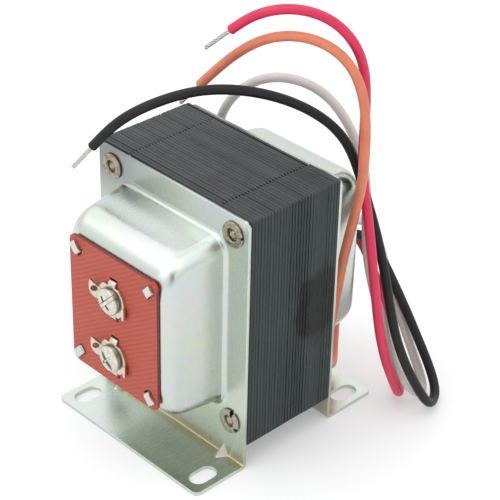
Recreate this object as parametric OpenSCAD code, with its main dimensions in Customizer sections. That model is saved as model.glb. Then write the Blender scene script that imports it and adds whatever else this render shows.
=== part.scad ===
// Laminated chassis transformer with two drawn end bells, a two-screw terminal
// board on the front bell and four flying leads out of the rear bell.
//
// Frame: +Z up, feet on Z = 0, origin midway between the four foot slots.
// The front bell with its terminals looks along -X, the leads leave along +X.

/* [Core] */
// Width of the centre leg (tongue) of the E sheet
tongue_w = 22.225; // [19:0.001:26]
// Number of sheets in the stack
sheet_count = 58; // [20:2:80]
// Thickness of one sheet
sheet_t = 0.5; // [0.35:0.01:0.5]
// Height of the stack between the two end plates
stack_build = 29.85; // [28:0.05:45]
// Height of the centre of the core above the mounting surface
core_z = 40.7; // [38:0.1:46]
// Gap left at the butt joint of an E and an I sheet
butt_gap = 0.05; // [0.02:0.01:0.2]
// Diameter of the punched rivet holes in the sheets
sheet_hole_d = 5; // [4.9:0.05:5.6]

/* [End bells] */
// Sheet metal thickness of the bells
bell_t = 1; // [0.8:0.1:1.2]
// Width of the plate and of the foot
plate_w = 55; // [52:0.5:60]
// Height of the plate above the mounting surface
plate_h = 73.6; // [70:0.1:80]
// Depth of the drawn cup
cup_depth = 18.4; // [17:0.1:22]
// Half width of the cup where it leaves the plate
cup_half_w = 19.8; // [18.5:0.1:20.5]
// Half height of the cup where it leaves the plate
cup_half_h = 24.8; // [23.5:0.1:25.5]
// Radius of the cup's vertical face edges
cup_edge_side = 3.4; // [2.5:0.1:5]
// Radius of the cup's top and bottom face edges
cup_edge_top = 7.4; // [5:0.1:9]
// Corner radius of the cup, seen from its end
cup_corner = 4.4; // [3:0.1:7]
// Height of the cup's centre
cup_z = 41; // [40:0.1:42]
// Half height of the rear cup, which is drawn a little taller than the front one
rear_cup_half_h = 25.4; // [24.8:0.1:26]
// Radius of the rear cup's top and bottom face edges
rear_cup_edge_top = 5.8; // [5:0.1:9]
// Corner radius of the rear cup, seen from its end
rear_cup_corner = 4.8; // [3:0.1:7]
// Height of the rear cup's centre
rear_cup_z = 42.5; // [41:0.1:43]
// Length of the foot beyond the plate
foot_len = 16.4; // [15:0.1:20]

/* [Foot slots] */
// Spacing of the slots across the two feet, along X
slot_dx = 51.85; // [50:0.05:60]
// Spacing of the slots along one foot
slot_dy = 46; // [40:0.5:46]
// Width of a slot
slot_w = 4.76; // [4:0.02:5.5]
// Length of a slot from end to end
slot_len = 7.94; // [6:0.02:9]

/* [Rivets] */
// Diameter of the rivet body
rivet_d = 4.76; // [4.2:0.02:4.8]
// Diameter of the rolled flange
rivet_flange_d = 6.9; // [6.4:0.1:7.2]

/* [Coil] */
// Wall of the moulded coil form
form_wall = 0.9; // [0.7:0.1:1.2]
// Build of the primary winding
primary_build = 4.2; // [4:0.1:4.8]
// Build of the insulation between the windings
between_build = 0.4; // [0.2:0.1:0.6]
// Build of the secondary winding
secondary_build = 3.4; // [3:0.1:4]
// Build of the outer wrap
wrap_build = 0.5; // [0.3:0.1:0.5]

/* [Terminal board] */
// Width of the board
board_w = 32.8; // [31:0.1:33.5]
// Height of the board
board_h = 37.9; // [37:0.1:39]
// Thickness of the board
board_t = 0.8; // [0.8:0.1:1.2]
// Height of the upper terminal screw
upper_screw_z = 47.5; // [46:0.1:48]
// Height of the lower terminal screw
lower_screw_z = 30.4; // [30:0.1:32]
// Diameter of the terminal screw heads
screw_head_d = 7.4; // [6.8:0.1:7.8]

/* [Leads] */
// Outer diameter of an insulated lead
lead_d = 2.6; // [2.4:0.1:2.7]
// Diameter of the stripped and tinned strands
strand_d = 1.2; // [1:0.1:1.5]
// Sideways place of the lead bushing on the rear bell
bushing_y = -9.5; // [-9.5:0.5:-9.5]
// Height of the lead bushing
bushing_z = 43.5; // [43.5:0.5:43.5]

/* [Hidden] */

$fn = 48;
eps = 0.01;

pitch = (stack_build - sheet_t) / (sheet_count - 1);
core_x = stack_build / 2;              // inner face of each plate
face_x = core_x + bell_t;              // outer face of each plate
cup_x = face_x + cup_depth;            // outer face of each cup
rivet_y = tongue_w;
rivet_dz = 1.25 * tongue_w;
slot_x = slot_dx / 2;
slot_y = slot_dy / 2;
board_x = cup_x + board_t;             // outer face of the board
board_z = 40.65;
tab_y = 12.4;                          // root of a board tab
tab_dz = 14.4;
tab_w = 2.3;
tab_len = 3.6;
ear_y = -0.4;                          // sideways place of the terminal ears

// Coil: half sizes of the space inside the coil form
form_x = 15.2;
form_z = 11.4;
flange_y = 16.3;
layer_1 = form_wall;
layer_2 = layer_1 + primary_build;
layer_3 = layer_2 + between_build;
layer_4 = layer_3 + secondary_build;
layer_5 = layer_4 + wrap_build;
wrap_x = form_x + layer_5;

// Extrude a Y-Z outline along +X
module along_x(h) { rotate([90, 0, 90]) linear_extrude(h) children(); }

// Outline with rounded corners made of true circles
module round_rect(w, h, r) {
    square([w - 2 * r, h], center = true);
    square([w, h - 2 * r], center = true);
    for (y = [-1, 1], z = [-1, 1])
        translate([y * (w / 2 - r), z * (h / 2 - r)]) circle(r);
}

// ---------------------------------------------------------------- core
module e_outline() {
    t = tongue_w;
    difference() {
        polygon([[-1.25 * t, -1.5 * t], [0.75 * t, -1.5 * t], [0.75 * t, -t],
                 [-0.75 * t, -t], [-0.75 * t, -0.5 * t], [0.75 * t, -0.5 * t],
                 [0.75 * t, 0.5 * t], [-0.75 * t, 0.5 * t], [-0.75 * t, t],
                 [0.75 * t, t], [0.75 * t, 1.5 * t], [-1.25 * t, 1.5 * t]]);
        for (z = [-1, 1]) translate([-t, z * 1.25 * t]) circle(d = sheet_hole_d);
    }
}

module i_outline() {
    t = tongue_w;
    difference() {
        translate([0.75 * t + butt_gap, -1.5 * t]) square([0.5 * t - butt_gap, 3 * t]);
        for (z = [-1, 1]) translate([t, z * 1.25 * t]) circle(d = sheet_hole_d);
    }
}

// Sheets are stacked one by one, each turned end for end from the last
module stacked() {
    for (k = [0 : sheet_count - 1])
        translate([-core_x + k * pitch, 0, core_z])
            mirror([0, k % 2, 0]) along_x(sheet_t) children();
}

module e_laminations() { color([0.24, 0.26, 0.26]) stacked() e_outline(); }
module i_laminations() { color([0.27, 0.29, 0.29]) stacked() i_outline(); }

// ---------------------------------------------------------------- bells
function cup_drop(d, depth, r) =
    d <= depth - r ? 0 : r * (1 - sqrt(max(0, 1 - pow((d - depth + r) / r, 2))));

// Shapes of the two cups: half height, top edge radius, corner radius, centre height
front_cup = [cup_half_h, cup_edge_top, cup_corner, cup_z];
rear_cup = [rear_cup_half_h, rear_cup_edge_top, rear_cup_corner, rear_cup_z];

// Solid cup, grown from the plate by slices; inset g shrinks it all round
module cup_solid(c, g) {
    depth = cup_depth - g;
    hull()
        for (d = [g > 0 ? -2 : 0, 11, 13.5, 15, 16, 16.8, 17.4, 17.9, 18.2, 18.4]) {
            s = d * depth / 18.4;
            hy = cup_half_w - g - 0.06 * s - cup_drop(s, depth, cup_edge_side - g);
            hz = c[0] - g - 0.12 * s - cup_drop(s, depth, c[1] - g);
            for (y = [-1, 1], z = [-1, 1])
                translate([core_x + bell_t + s - eps, y * (hy - c[2] + g), c[3] + z * (hz - c[2] + g)])
                    rotate([0, 90, 0]) cylinder(r = c[2] - g, h = eps, $fn = 32);
        }
}

// Plate outline seen from the end, above the bend
module plate_outline() {
    r = 1.8;
    translate([-plate_w / 2, 3]) square([plate_w, plate_h - 3 - r]);
    translate([-plate_w / 2 + r, 3]) square([plate_w - 2 * r, plate_h - 3]);
    for (y = [-1, 1]) translate([y * (plate_w / 2 - r), plate_h - r]) circle(r);
}

// Section of the bend between the plate and the foot, X to the right, Z up
module bend_section() {
    ro = 1.5;
    ri = ro - bell_t;
    translate([core_x + ro, 0]) square([4.5 - ro, bell_t]);
    translate([core_x, ro]) square([bell_t, 3.1 - ro]);
    intersection() {
        translate([core_x, 0]) square(ro);
        translate([core_x + ro, ro]) difference() { circle(ro); circle(ri); }
    }
}

// Foot outline seen from above
module foot_outline() {
    r = 1.5;
    x0 = core_x + 4.4;
    x1 = face_x + foot_len;
    translate([x0, -plate_w / 2]) square([x1 - x0 - r, plate_w]);
    translate([x0, -plate_w / 2 + r]) square([x1 - x0, plate_w - 2 * r]);
    for (y = [-1, 1]) translate([x1 - r, y * (plate_w / 2 - r)]) circle(r);
}

// Stamped corner stiffener across the bend; inset g gives its hollow back
module stiffener(g) {
    polyhedron(points = [[face_x - 0.4 - g, 0, 4.7 - 2.6 * g], [face_x + 3.7 - 2.6 * g, 0, 0.6 - g],
                         [face_x - 0.4 - g, 2.4 - g * 0.5, 0.6 - g], [face_x - 0.4 - g, -2.4 + g * 0.5, 0.6 - g]],
               faces = [[0, 1, 2], [0, 3, 1], [0, 2, 3], [1, 3, 2]]);
}

// Bell drawn in one piece: plate, cup and bent foot, shown here on +X
module bell_body(c) {
    difference() {
        union() {
            translate([core_x, 0, 0]) along_x(bell_t) plate_outline();
            rotate([90, 0, 0]) translate([0, 0, -plate_w / 2]) linear_extrude(plate_w) bend_section();
            linear_extrude(bell_t) foot_outline();
            cup_solid(c, 0);
            for (y = [-20, 20]) translate([0, y, 0]) stiffener(0);
        }
        cup_solid(c, bell_t);
        for (y = [-1, 1], z = [-1, 1])
            translate([core_x - 1, y * rivet_y, core_z + z * rivet_dz])
                rotate([0, 90, 0]) cylinder(d = 4.9, h = bell_t + 2);
        for (y = [-1, 1]) translate([slot_x, y * slot_y, -1]) {
            for (x = [-1, 1]) translate([x * (slot_len - slot_w) / 2, 0, 0])
                cylinder(d = slot_w, h = bell_t + 2);
            translate([-(slot_len - slot_w) / 2, -slot_w / 2, 0])
                cube([slot_len - slot_w, slot_w, bell_t + 2]);
        }
    }
}

// One tab of the bell, through the board and folded flat over it
module board_tab() {
    translate([cup_x - bell_t, -tab_w / 2, 0]) cube([board_t + 2 * bell_t - 0.1, tab_w, 0.9]);
    translate([board_x, -tab_w / 2, 0]) cube([0.9, tab_w, tab_len]);
}

// Places a child at the four tab roots, turned towards each corner
module at_tabs() {
    for (y = [-1, 1], z = [-1, 1])
        translate([0, y * tab_y, board_z + z * tab_dz])
            rotate([z > 0 ? -y * 42 : 180 + y * 42, 0, 0]) children();
}

module front_end_bell() {
    color([0.78, 0.80, 0.78]) mirror([1, 0, 0]) {
        difference() {
            bell_body(front_cup);
            translate([cup_x - 3, 0, 38.9]) along_x(6) round_rect(18, 32.4, 2);
        }
        at_tabs() board_tab();
    }
}

module rear_end_bell() {
    color([0.78, 0.80, 0.78]) difference() {
        bell_body(rear_cup);
        translate([cup_x - 3, bushing_y, bushing_z]) rotate([0, 90, 0]) cylinder(d = 9.6, h = 6);
    }
}

// ---------------------------------------------------------------- rivets
// Half section of one rivet end; X is the radius, Y runs out of the plate
module rivet_section() {
    h = 0.7;
    translate([0, -core_x - 1]) square([rivet_d / 2, core_x + 1 - 1.6]);
    translate([1.7, -1.7]) square([rivet_d / 2 - 1.7, 1.7 + h / 2]);
    translate([2.1, 0]) square([rivet_flange_d / 2 - h / 2 - 2.1, h]);
    translate([2.1, h - 0.4]) intersection() { circle(0.4); translate([-1, 0]) square([1, 1]); }
    translate([1.7, 0]) square([0.4, h - 0.4]);
    translate([rivet_flange_d / 2 - h / 2, 0]) intersection() {
        translate([0, h / 2]) circle(h / 2);
        square([1, h]);
    }
    translate([0, -1.7]) square([1.15, 1.2]);
    translate([0, -0.5]) intersection() { circle(1.15); square(2); }
}

module core_rivets() {
    color([0.62, 0.58, 0.50])
        for (y = [-1, 1], z = [-1, 1])
            translate([0, y * rivet_y, core_z + z * rivet_dz])
                for (s = [0, 1]) mirror([s, 0, 0])
                    translate([face_x, 0, 0]) rotate([0, 90, 0]) rotate_extrude() rivet_section();
}

// ---------------------------------------------------------------- coil
// Closed ring round the centre leg, between two builds
module ring(a, b, hw) {
    rotate([90, 0, 0]) translate([0, core_z, -hw]) linear_extrude(2 * hw) difference() {
        round_rect(2 * (form_x + b), 2 * (form_z + b), 0.6 + b);
        round_rect(2 * (form_x + a), 2 * (form_z + a), 0.6 + a);
    }
}

module coil_form() {
    color([0.85, 0.83, 0.74]) {
        ring(0, layer_1, flange_y);
        for (s = [0, 1]) mirror([0, s, 0]) translate([0, flange_y - 0.45, 0]) ring(0, layer_5 - 0.1, 0.45);
    }
}
module primary_winding() { color([0.72, 0.36, 0.18]) ring(layer_1, layer_2, flange_y - 0.9); }
module winding_insulation() { color([0.86, 0.78, 0.55]) ring(layer_2, layer_3, flange_y - 0.9); }
module secondary_winding() { color([0.76, 0.42, 0.20]) ring(layer_3, layer_4, flange_y - 0.9); }
module outer_wrap() { color([0.20, 0.19, 0.17]) ring(layer_4, layer_5, flange_y - 0.9); }

// ---------------------------------------------------------------- terminals
module terminal_board() {
    color([0.74, 0.34, 0.30]) mirror([1, 0, 0]) difference() {
        translate([cup_x, 0, board_z]) along_x(board_t) round_rect(board_w, board_h, 2.2);
        at_tabs() translate([cup_x - 1, -tab_w / 2 - 0.2, -0.2]) cube([4, tab_w + 0.4, 1.4]);
        for (z = [upper_screw_z, lower_screw_z]) translate([cup_x - 1, 0, z]) {
            rotate([0, 90, 0]) cylinder(d = 5, h = 4);
            for (s = [-1, 1]) translate([0, ear_y - 1.45, s < 0 ? -6.1 : 4.6]) cube([4, 2.9, 1.5]);
        }
    }
}

// Stamped terminal: round plate with two clinched ears, a solder lug and a prong
module terminal(z0) {
    color([0.80, 0.78, 0.70]) mirror([1, 0, 0]) translate([board_x, 0, z0]) difference() {
        union() {
            intersection() {
                rotate([0, 90, 0]) cylinder(r = 4.9, h = 0.8);
                translate([0, -4.9, -4.1]) cube([0.8, 9.2, 8.2]);
            }
            rotate([0, 90, 0]) translate([0, 0, -1.6]) cylinder(d = 4.8, h = 1.7);
            for (s = [-1, 1]) {
                translate([0, ear_y - 1.25, s < 0 ? -5.55 : 3.55]) cube([0.8, 2.5, 2]);
                translate([-1.8, ear_y - 1.25, s * 5.15 - 0.4]) cube([1.9, 2.5, 0.8]);
            }
            translate([-3.2, ear_y - 1.25, 4.75]) cube([1.5, 2.5, 0.8]);
            translate([0, -5.5, -3.3]) cube([1.4, 0.9, 3.2]);
            translate([0, 4.1, 0]) rotate([0, 0, -34]) along_x(0.8)
                polygon([[0, -1.6], [1, -1.5], [1.8, -1], [2.6, 0], [2.95, 1.3],
                         [2.9, 2.6], [2.65, 3.9], [0.6, 2.1], [0, 1.9]]);
        }
        translate([-3, 0, 0]) rotate([0, 90, 0]) cylinder(d = 3.6, h = 6);
        translate([0, 4.1, 0]) rotate([0, 0, -34]) translate([-1, 1.45, 1.6])
            rotate([0, 90, 0]) cylinder(d = 1.5, h = 3);
    }
}
module upper_terminal() { terminal(upper_screw_z); }
module lower_terminal() { terminal(lower_screw_z); }

// Binding-head screw with a driver slot and short cross arms; threads are left smooth
module terminal_screw(z0, turn) {
    color([0.82, 0.81, 0.77]) mirror([1, 0, 0]) translate([board_x + 0.8, 0, z0]) difference() {
        union() {
            rotate([0, 90, 0]) rotate_extrude() {
                square([3, 0.8]);
                translate([0, 0.6]) square([screw_head_d / 2, 0.5]);
                intersection() {
                    translate([0, -6.2]) circle(8.2);
                    translate([0, 0.6]) square([screw_head_d / 2, 3]);
                }
            }
            translate([-6, 0, 0]) rotate([0, 90, 0]) cylinder(d = 3.5, h = 6.1);
        }
        translate([1.9, 0, 0]) rotate([turn, 0, 0]) cube([2, 9, 1.1], center = true);
        translate([2.35, 0, 0]) rotate([turn, 0, 0]) cube([2, 0.6, 4], center = true);
    }
}
module upper_terminal_screw() { terminal_screw(upper_screw_z, 135); }
module lower_terminal_screw() { terminal_screw(lower_screw_z, 45); }

// Sleeved wire from the coil to the inner tail of a terminal
module terminal_wire(z0) {
    x1 = board_x - 3.2;
    color([0.85, 0.80, 0.62]) mirror([1, 0, 0]) {
        translate([wrap_x, 0, z0 + 2.5]) rotate([0, 90, 0]) cylinder(d = 1.6, h = 2.5);
        translate([wrap_x + 2.5, 0, z0 + 2.5]) sphere(d = 1.6);
        translate([wrap_x + 2.5, 0, z0 + 2.5]) cylinder(d = 1.6, h = 2.65);
        translate([wrap_x + 2.5, 0, z0 + 5.15]) sphere(d = 1.6);
        translate([wrap_x + 2.5, 0, z0 + 5.15]) rotate([0, 90, 0]) cylinder(d = 1.6, h = x1 - wrap_x - 2.5);
    }
}
module upper_terminal_wire() { terminal_wire(upper_screw_z); }
module lower_terminal_wire() { terminal_wire(lower_screw_z); }

// ---------------------------------------------------------------- leads
// Snap-in bushing round the four leads
module lead_bushing() {
    color([0.10, 0.10, 0.10]) translate([cup_x, bushing_y, bushing_z]) rotate([0, 90, 0])
        rotate_extrude() translate([3.7, 0]) {
            square([1.9, 1.5]);
            translate([1.9, 0.35]) circle(0.35);
            translate([1.9, 0]) square([0.35, 0.35]);
            translate([0, -bell_t]) square([1.1, bell_t + 0.1]);
            translate([0, -bell_t - 1.6]) square([1.5, 1.6]);
        }
}

// Route points of the four leads, from the coil wrap out to the cut end
black_route = [[24.6, -11, 42], [31, -11, 42], [36, -11, 42], [41, -12, 41], [44, -16, 37],
    [45, -21, 29], [46, -26, 21], [46, -31, 14], [46, -36, 7], [44, -41, 2], [38, -44, 2],
    [34, -44, 7], [31, -40, 16], [30, -36, 25], [31, -32, 35], [32, -28, 45], [31, -25, 55],
    [31, -20, 65], [29, -17, 75], [24, -13, 82], [16, -9, 88], [7, -4, 92], [-2, 3, 93],
    [-10, 10, 90], [-17, 18, 84], [-21, 24, 75]];
red_route = [[24.6, -8, 42], [31, -8, 42], [36, -8, 42], [41, -8, 41], [44, -11, 36],
    [44, -16, 28], [44, -20, 20], [44, -24, 12], [43, -28, 4], [39, -32, 2], [34, -36, 3],
    [30, -37, 10], [27, -36, 18], [26, -34, 27], [26, -32, 37], [26, -30, 47], [28, -26, 57],
    [29, -22, 68], [30, -21, 79], [30, -21, 90], [28, -21, 101], [23, -17, 110],
    [17, -9, 113], [12, 0, 110], [9, 6, 104]];
white_route = [[24.6, -11, 45], [31, -11, 45], [36, -11, 45], [42, -11, 45], [46, -13, 41],
    [47, -16, 32], [46, -21, 24], [46, -26, 15], [46, -30, 8], [45, -35, 2], [40, -39, 2],
    [34, -39, 7], [32, -35, 14], [30, -33, 24], [28, -30, 35], [29, -25, 46], [33, -21, 56],
    [35, -18, 66], [34, -13, 76], [32, -6, 84], [27, 3, 87], [23, 12, 84], [21, 20, 75],
    [21, 23, 66]];
orange_route = [[24.6, -8, 45], [31, -8, 45], [36, -8, 45], [41, -7, 44], [44, -4, 38],
    [45, -3, 30], [43, -4, 21], [39, -7, 13], [33, -12, 7], [27, -18, 6], [20, -20, 13],
    [20, -22, 23], [22, -22, 34], [24, -22, 46], [25, -24, 58], [24, -27, 70], [24, -27, 82],
    [24, -26, 92], [23, -22, 101], [19, -14, 106], [14, -4, 105], [12, 7, 97], [9, 17, 85]];

// Stations of the rings along each route, closer together round the tight bends
black_rings = [0, 2, 3, 4, 5, 7, 8, 9, 9.6, 10.2, 11, 12, 14, 16, 17, 18, 19, 20, 21, 22, 23, 25];
red_rings = [0, 2, 3, 4, 5, 7, 8, 8.7, 9.4, 10.2, 11, 12, 14, 16, 18, 19, 20, 21, 22, 23, 24];
white_rings = [0, 2, 3, 4, 5, 6, 8, 9, 9.6, 10.2, 11, 12, 14, 16, 17, 18, 19, 20, 21, 22, 23];
orange_rings = [0, 2, 3, 4, 5, 6, 7, 8, 9, 10, 11, 13, 15, 17, 18, 19, 20, 21, 22];

// Smooth curve through the first and last route point, drawn along the others
function ctrl(P, i) =
    i < 0 ? 2 * P[0] - P[1] : i > len(P) - 1 ? 2 * P[len(P) - 1] - P[len(P) - 2] : P[i];
function on_route(P, t) =
    let (i = min(max(floor(t), 0), len(P) - 2), f = t - i,
         a = ctrl(P, i - 1), b = ctrl(P, i), c = ctrl(P, i + 1), d = ctrl(P, i + 2))
    (a * pow(1 - f, 3) + b * (3 * pow(f, 3) - 6 * pow(f, 2) + 4)
     + c * (-3 * pow(f, 3) + 3 * pow(f, 2) + 3 * f + 1) + d * pow(f, 3)) / 6;
function unit(v) = v / norm(v);
function heading(P, t) =
    let (n = len(P) - 1, a = max(0, t - 0.02), b = min(n, t + 0.02)) unit(on_route(P, b) - on_route(P, a));
function square_to(n, t) = unit(n - (n * t) * t);

// Tube swept along a route: an eight-sided ring at each station
module lead(P, S, tint) {
    m = len(S);
    T = [for (s = S) heading(P, s)];
    N = [for (i = 0, n = square_to([0.1, 0.2, 1], T[0]); i < m;
              i = i + 1, n = square_to(n, T[min(i, m - 1)])) n];
    pts = [for (i = [0 : m - 1], k = [0 : 7])
        on_route(P, S[i]) + lead_d / 2 * (cos(45 * k) * N[i] + sin(45 * k) * cross(T[i], N[i]))];
    faces = concat([[for (k = [0 : 7]) k]],
        [for (i = [0 : m - 2], k = [0 : 7])
            [8 * i + k, 8 * i + 8 + k, 8 * i + 8 + (k + 1) % 8, 8 * i + (k + 1) % 8]],
        [[for (k = [7 : -1 : 0]) 8 * (m - 1) + k]]);
    color(tint) polyhedron(points = pts, faces = faces);
}

// Bare tinned end of a lead, in line with its last stretch
module bare_end(P, len_mm) {
    e = P[len(P) - 1];
    v = heading(P, len(P) - 1);
    color([0.72, 0.71, 0.68]) translate(e) rotate([0, acos(v[2]), atan2(v[1], v[0])])
        cylinder(d = strand_d, h = len_mm);
}

module black_lead() { lead(black_route, black_rings, [0.10, 0.10, 0.11]); }
module red_lead() { lead(red_route, red_rings, [0.84, 0.19, 0.35]); }
module white_lead() { lead(white_route, white_rings, [0.88, 0.87, 0.85]); }
module orange_lead() { lead(orange_route, orange_rings, [0.85, 0.48, 0.36]); }
module black_lead_tip() { bare_end(black_route, 8.5); }
module red_lead_tip() { bare_end(red_route, 9); }
module white_lead_tip() { bare_end(white_route, 8); }
module orange_lead_tip() { bare_end(orange_route, 9); }

front_end_bell();
rear_end_bell();
e_laminations();
i_laminations();
core_rivets();
coil_form();
primary_winding();
winding_insulation();
secondary_winding();
outer_wrap();
terminal_board();
upper_terminal();
lower_terminal();
upper_terminal_screw();
lower_terminal_screw();
upper_terminal_wire();
lower_terminal_wire();
lead_bushing();
black_lead();
red_lead();
white_lead();
orange_lead();
black_lead_tip();
red_lead_tip();
white_lead_tip();
orange_lead_tip();
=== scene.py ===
import math
import random

import bpy
import bmesh
from mathutils import Matrix, Vector
from mathutils.geometry import delaunay_2d_cdt


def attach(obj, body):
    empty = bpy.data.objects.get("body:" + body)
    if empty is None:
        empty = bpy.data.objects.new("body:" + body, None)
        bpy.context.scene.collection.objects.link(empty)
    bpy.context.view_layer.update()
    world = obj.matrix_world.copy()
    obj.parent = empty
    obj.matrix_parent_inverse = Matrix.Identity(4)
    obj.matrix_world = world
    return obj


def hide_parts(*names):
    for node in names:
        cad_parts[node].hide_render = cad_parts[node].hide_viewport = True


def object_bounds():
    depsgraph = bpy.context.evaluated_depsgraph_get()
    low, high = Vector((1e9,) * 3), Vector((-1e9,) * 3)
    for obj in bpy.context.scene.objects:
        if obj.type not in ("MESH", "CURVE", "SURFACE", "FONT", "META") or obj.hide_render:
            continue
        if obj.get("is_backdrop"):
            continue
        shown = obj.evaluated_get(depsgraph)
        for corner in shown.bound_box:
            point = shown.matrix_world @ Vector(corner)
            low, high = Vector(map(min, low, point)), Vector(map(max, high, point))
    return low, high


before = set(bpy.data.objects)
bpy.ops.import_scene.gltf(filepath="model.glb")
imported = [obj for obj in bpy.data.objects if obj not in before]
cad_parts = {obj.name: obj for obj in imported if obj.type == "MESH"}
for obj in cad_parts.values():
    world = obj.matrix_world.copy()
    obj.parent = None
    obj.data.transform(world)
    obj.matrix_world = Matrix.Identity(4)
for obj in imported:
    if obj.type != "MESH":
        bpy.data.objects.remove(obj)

CAD_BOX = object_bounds()
MM = 0.001
rnd = random.Random(41)


def plain(value):
    try:
        return [plain(v) for v in value]
    except TypeError:
        return float(value)


CAD_BOX = plain(CAD_BOX)

# ------------------------------------------------------------------ camera
BACK = Vector((-0.59438, -0.60268, 0.53243)).normalized()
RIGHT = Vector((0.71200, -0.70218, 0.0))
UP = BACK.cross(RIGHT).normalized()
RIGHT = UP.cross(BACK).normalized()
ROLL = math.radians(1.41)
cam_x = RIGHT * math.cos(ROLL) + UP * math.sin(ROLL)
cam_y = UP * math.cos(ROLL) - RIGHT * math.sin(ROLL)
cam_data = bpy.data.cameras.new("camera")
cam_data.sensor_width = 36
cam_data.lens = 122.49
cam_data.clip_start = 0.01
cam_data.clip_end = 20
camera = bpy.data.objects.new("camera", cam_data)
bpy.context.scene.collection.objects.link(camera)
m = Matrix.Identity(4)
for i in range(3):
    m[i][0], m[i][1], m[i][2] = cam_x[i], cam_y[i], BACK[i]
m[0][3], m[1][3], m[2][3] = -0.25420, -0.26952, 0.28021
camera.matrix_world = m
bpy.context.scene.camera = camera


# ------------------------------------------------------------------ materials
class Mat:
    """Small helper round a node tree. Coordinates are the row frame's, in millimetres."""

    def __init__(self, name):
        self.m = bpy.data.materials.new(name)
        self.m.use_nodes = True
        self.t = self.m.node_tree
        self.b = self.t.nodes["Principled BSDF"]
        tc = self.t.nodes.new("ShaderNodeTexCoord")
        mp = self.t.nodes.new("ShaderNodeMapping")
        mp.inputs["Scale"].default_value = (1000, 1000, 1000)
        self.t.links.new(tc.outputs["Object"], mp.inputs["Vector"])
        self.p = mp.outputs["Vector"]
        self._xyz = None

    def node(self, kind, **props):
        n = self.t.nodes.new(kind)
        for k, v in props.items():
            setattr(n, k, v)
        return n

    def put(self, sock, value):
        if hasattr(value, "is_output"):
            self.t.links.new(value, sock)
        elif hasattr(value, "__len__") and len(value) == 3 and sock.type == "RGBA":
            sock.default_value = (*value, 1)
        else:
            sock.default_value = value

    def set(self, **kw):
        for k, v in kw.items():
            self.put(self.b.inputs[k.replace("_", " ")], v)
        return self

    def xyz(self):
        if self._xyz is None:
            s = self.node("ShaderNodeSeparateXYZ")
            self.put(s.inputs[0], self.p)
            self._xyz = s.outputs
        return self._xyz

    def math(self, op, a, b=0.0, c=0.0, clamp=False):
        n = self.node("ShaderNodeMath", operation=op, use_clamp=clamp)
        self.put(n.inputs[0], a)
        self.put(n.inputs[1], b)
        self.put(n.inputs[2], c)
        return n.outputs[0]

    def scaled(self, sx, sy, sz, loc=(0, 0, 0)):
        n = self.node("ShaderNodeMapping")
        n.inputs["Scale"].default_value = (sx, sy, sz)
        n.inputs["Location"].default_value = loc
        self.put(n.inputs["Vector"], self.p)
        return n.outputs["Vector"]

    def noise(self, scale, detail=2.0, rough=0.5, vec=None, w=None, distortion=0.0):
        n = self.node("ShaderNodeTexNoise")
        if w is not None:
            n.noise_dimensions = "4D"
            n.inputs["W"].default_value = w
        self.put(n.inputs["Vector"], vec if vec is not None else self.p)
        n.inputs["Scale"].default_value = scale
        n.inputs["Detail"].default_value = detail
        n.inputs["Roughness"].default_value = rough
        n.inputs["Distortion"].default_value = distortion
        return n.outputs["Fac"]

    def white(self, value):
        n = self.node("ShaderNodeTexWhiteNoise", noise_dimensions="1D")
        self.put(n.inputs["W"], value)
        return n.outputs["Value"]

    def ramp(self, fac, *stops, interp="LINEAR"):
        n = self.node("ShaderNodeValToRGB")
        n.color_ramp.interpolation = interp
        e = n.color_ramp.elements
        while len(e) > 1:
            e.remove(e[0])
        for i, (pos, col) in enumerate(stops):
            el = e[0] if i == 0 else e.new(pos)
            el.position = pos
            el.color = (*col, 1) if hasattr(col, "__len__") else (col, col, col, 1)
        self.put(n.inputs[0], fac)
        return n.outputs["Color"]

    def mix(self, fac, a, b, blend="MIX"):
        n = self.node("ShaderNodeMix", data_type="RGBA", blend_type=blend)
        self.put(n.inputs["Factor"], fac)
        self.put(n.inputs[6], a)
        self.put(n.inputs[7], b)
        return n.outputs[2]

    def band(self, v, lo, hi, soft):
        """1 between lo and hi, falling to 0 over soft at each end."""
        a = self.math("DIVIDE", self.math("SUBTRACT", v, lo - soft), soft, clamp=True)
        b = self.math("DIVIDE", self.math("SUBTRACT", hi + soft, v), soft, clamp=True)
        return self.math("MULTIPLY", a, b)

    def dist(self, x, y, z, sx=1.0, sy=1.0, sz=1.0):
        """Distance from a point, with each axis stretched."""
        n = self.node("ShaderNodeMapping", vector_type="POINT")
        n.inputs["Scale"].default_value = (sx, sy, sz)
        n.inputs["Location"].default_value = (-x * sx, -y * sy, -z * sz)
        self.put(n.inputs["Vector"], self.p)
        q = self.node("ShaderNodeVectorMath", operation="LENGTH")
        self.put(q.inputs[0], n.outputs["Vector"])
        return q.outputs["Value"]

    def bump(self, height, strength=0.3, distance=0.0001, normal=None):
        n = self.node("ShaderNodeBump")
        n.inputs["Strength"].default_value = strength
        n.inputs["Distance"].default_value = distance
        self.put(n.inputs["Height"], height)
        if normal is not None:
            self.put(n.inputs["Normal"], normal)
        self.put(self.b.inputs["Normal"], n.outputs["Normal"])
        return n.outputs["Normal"]


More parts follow.
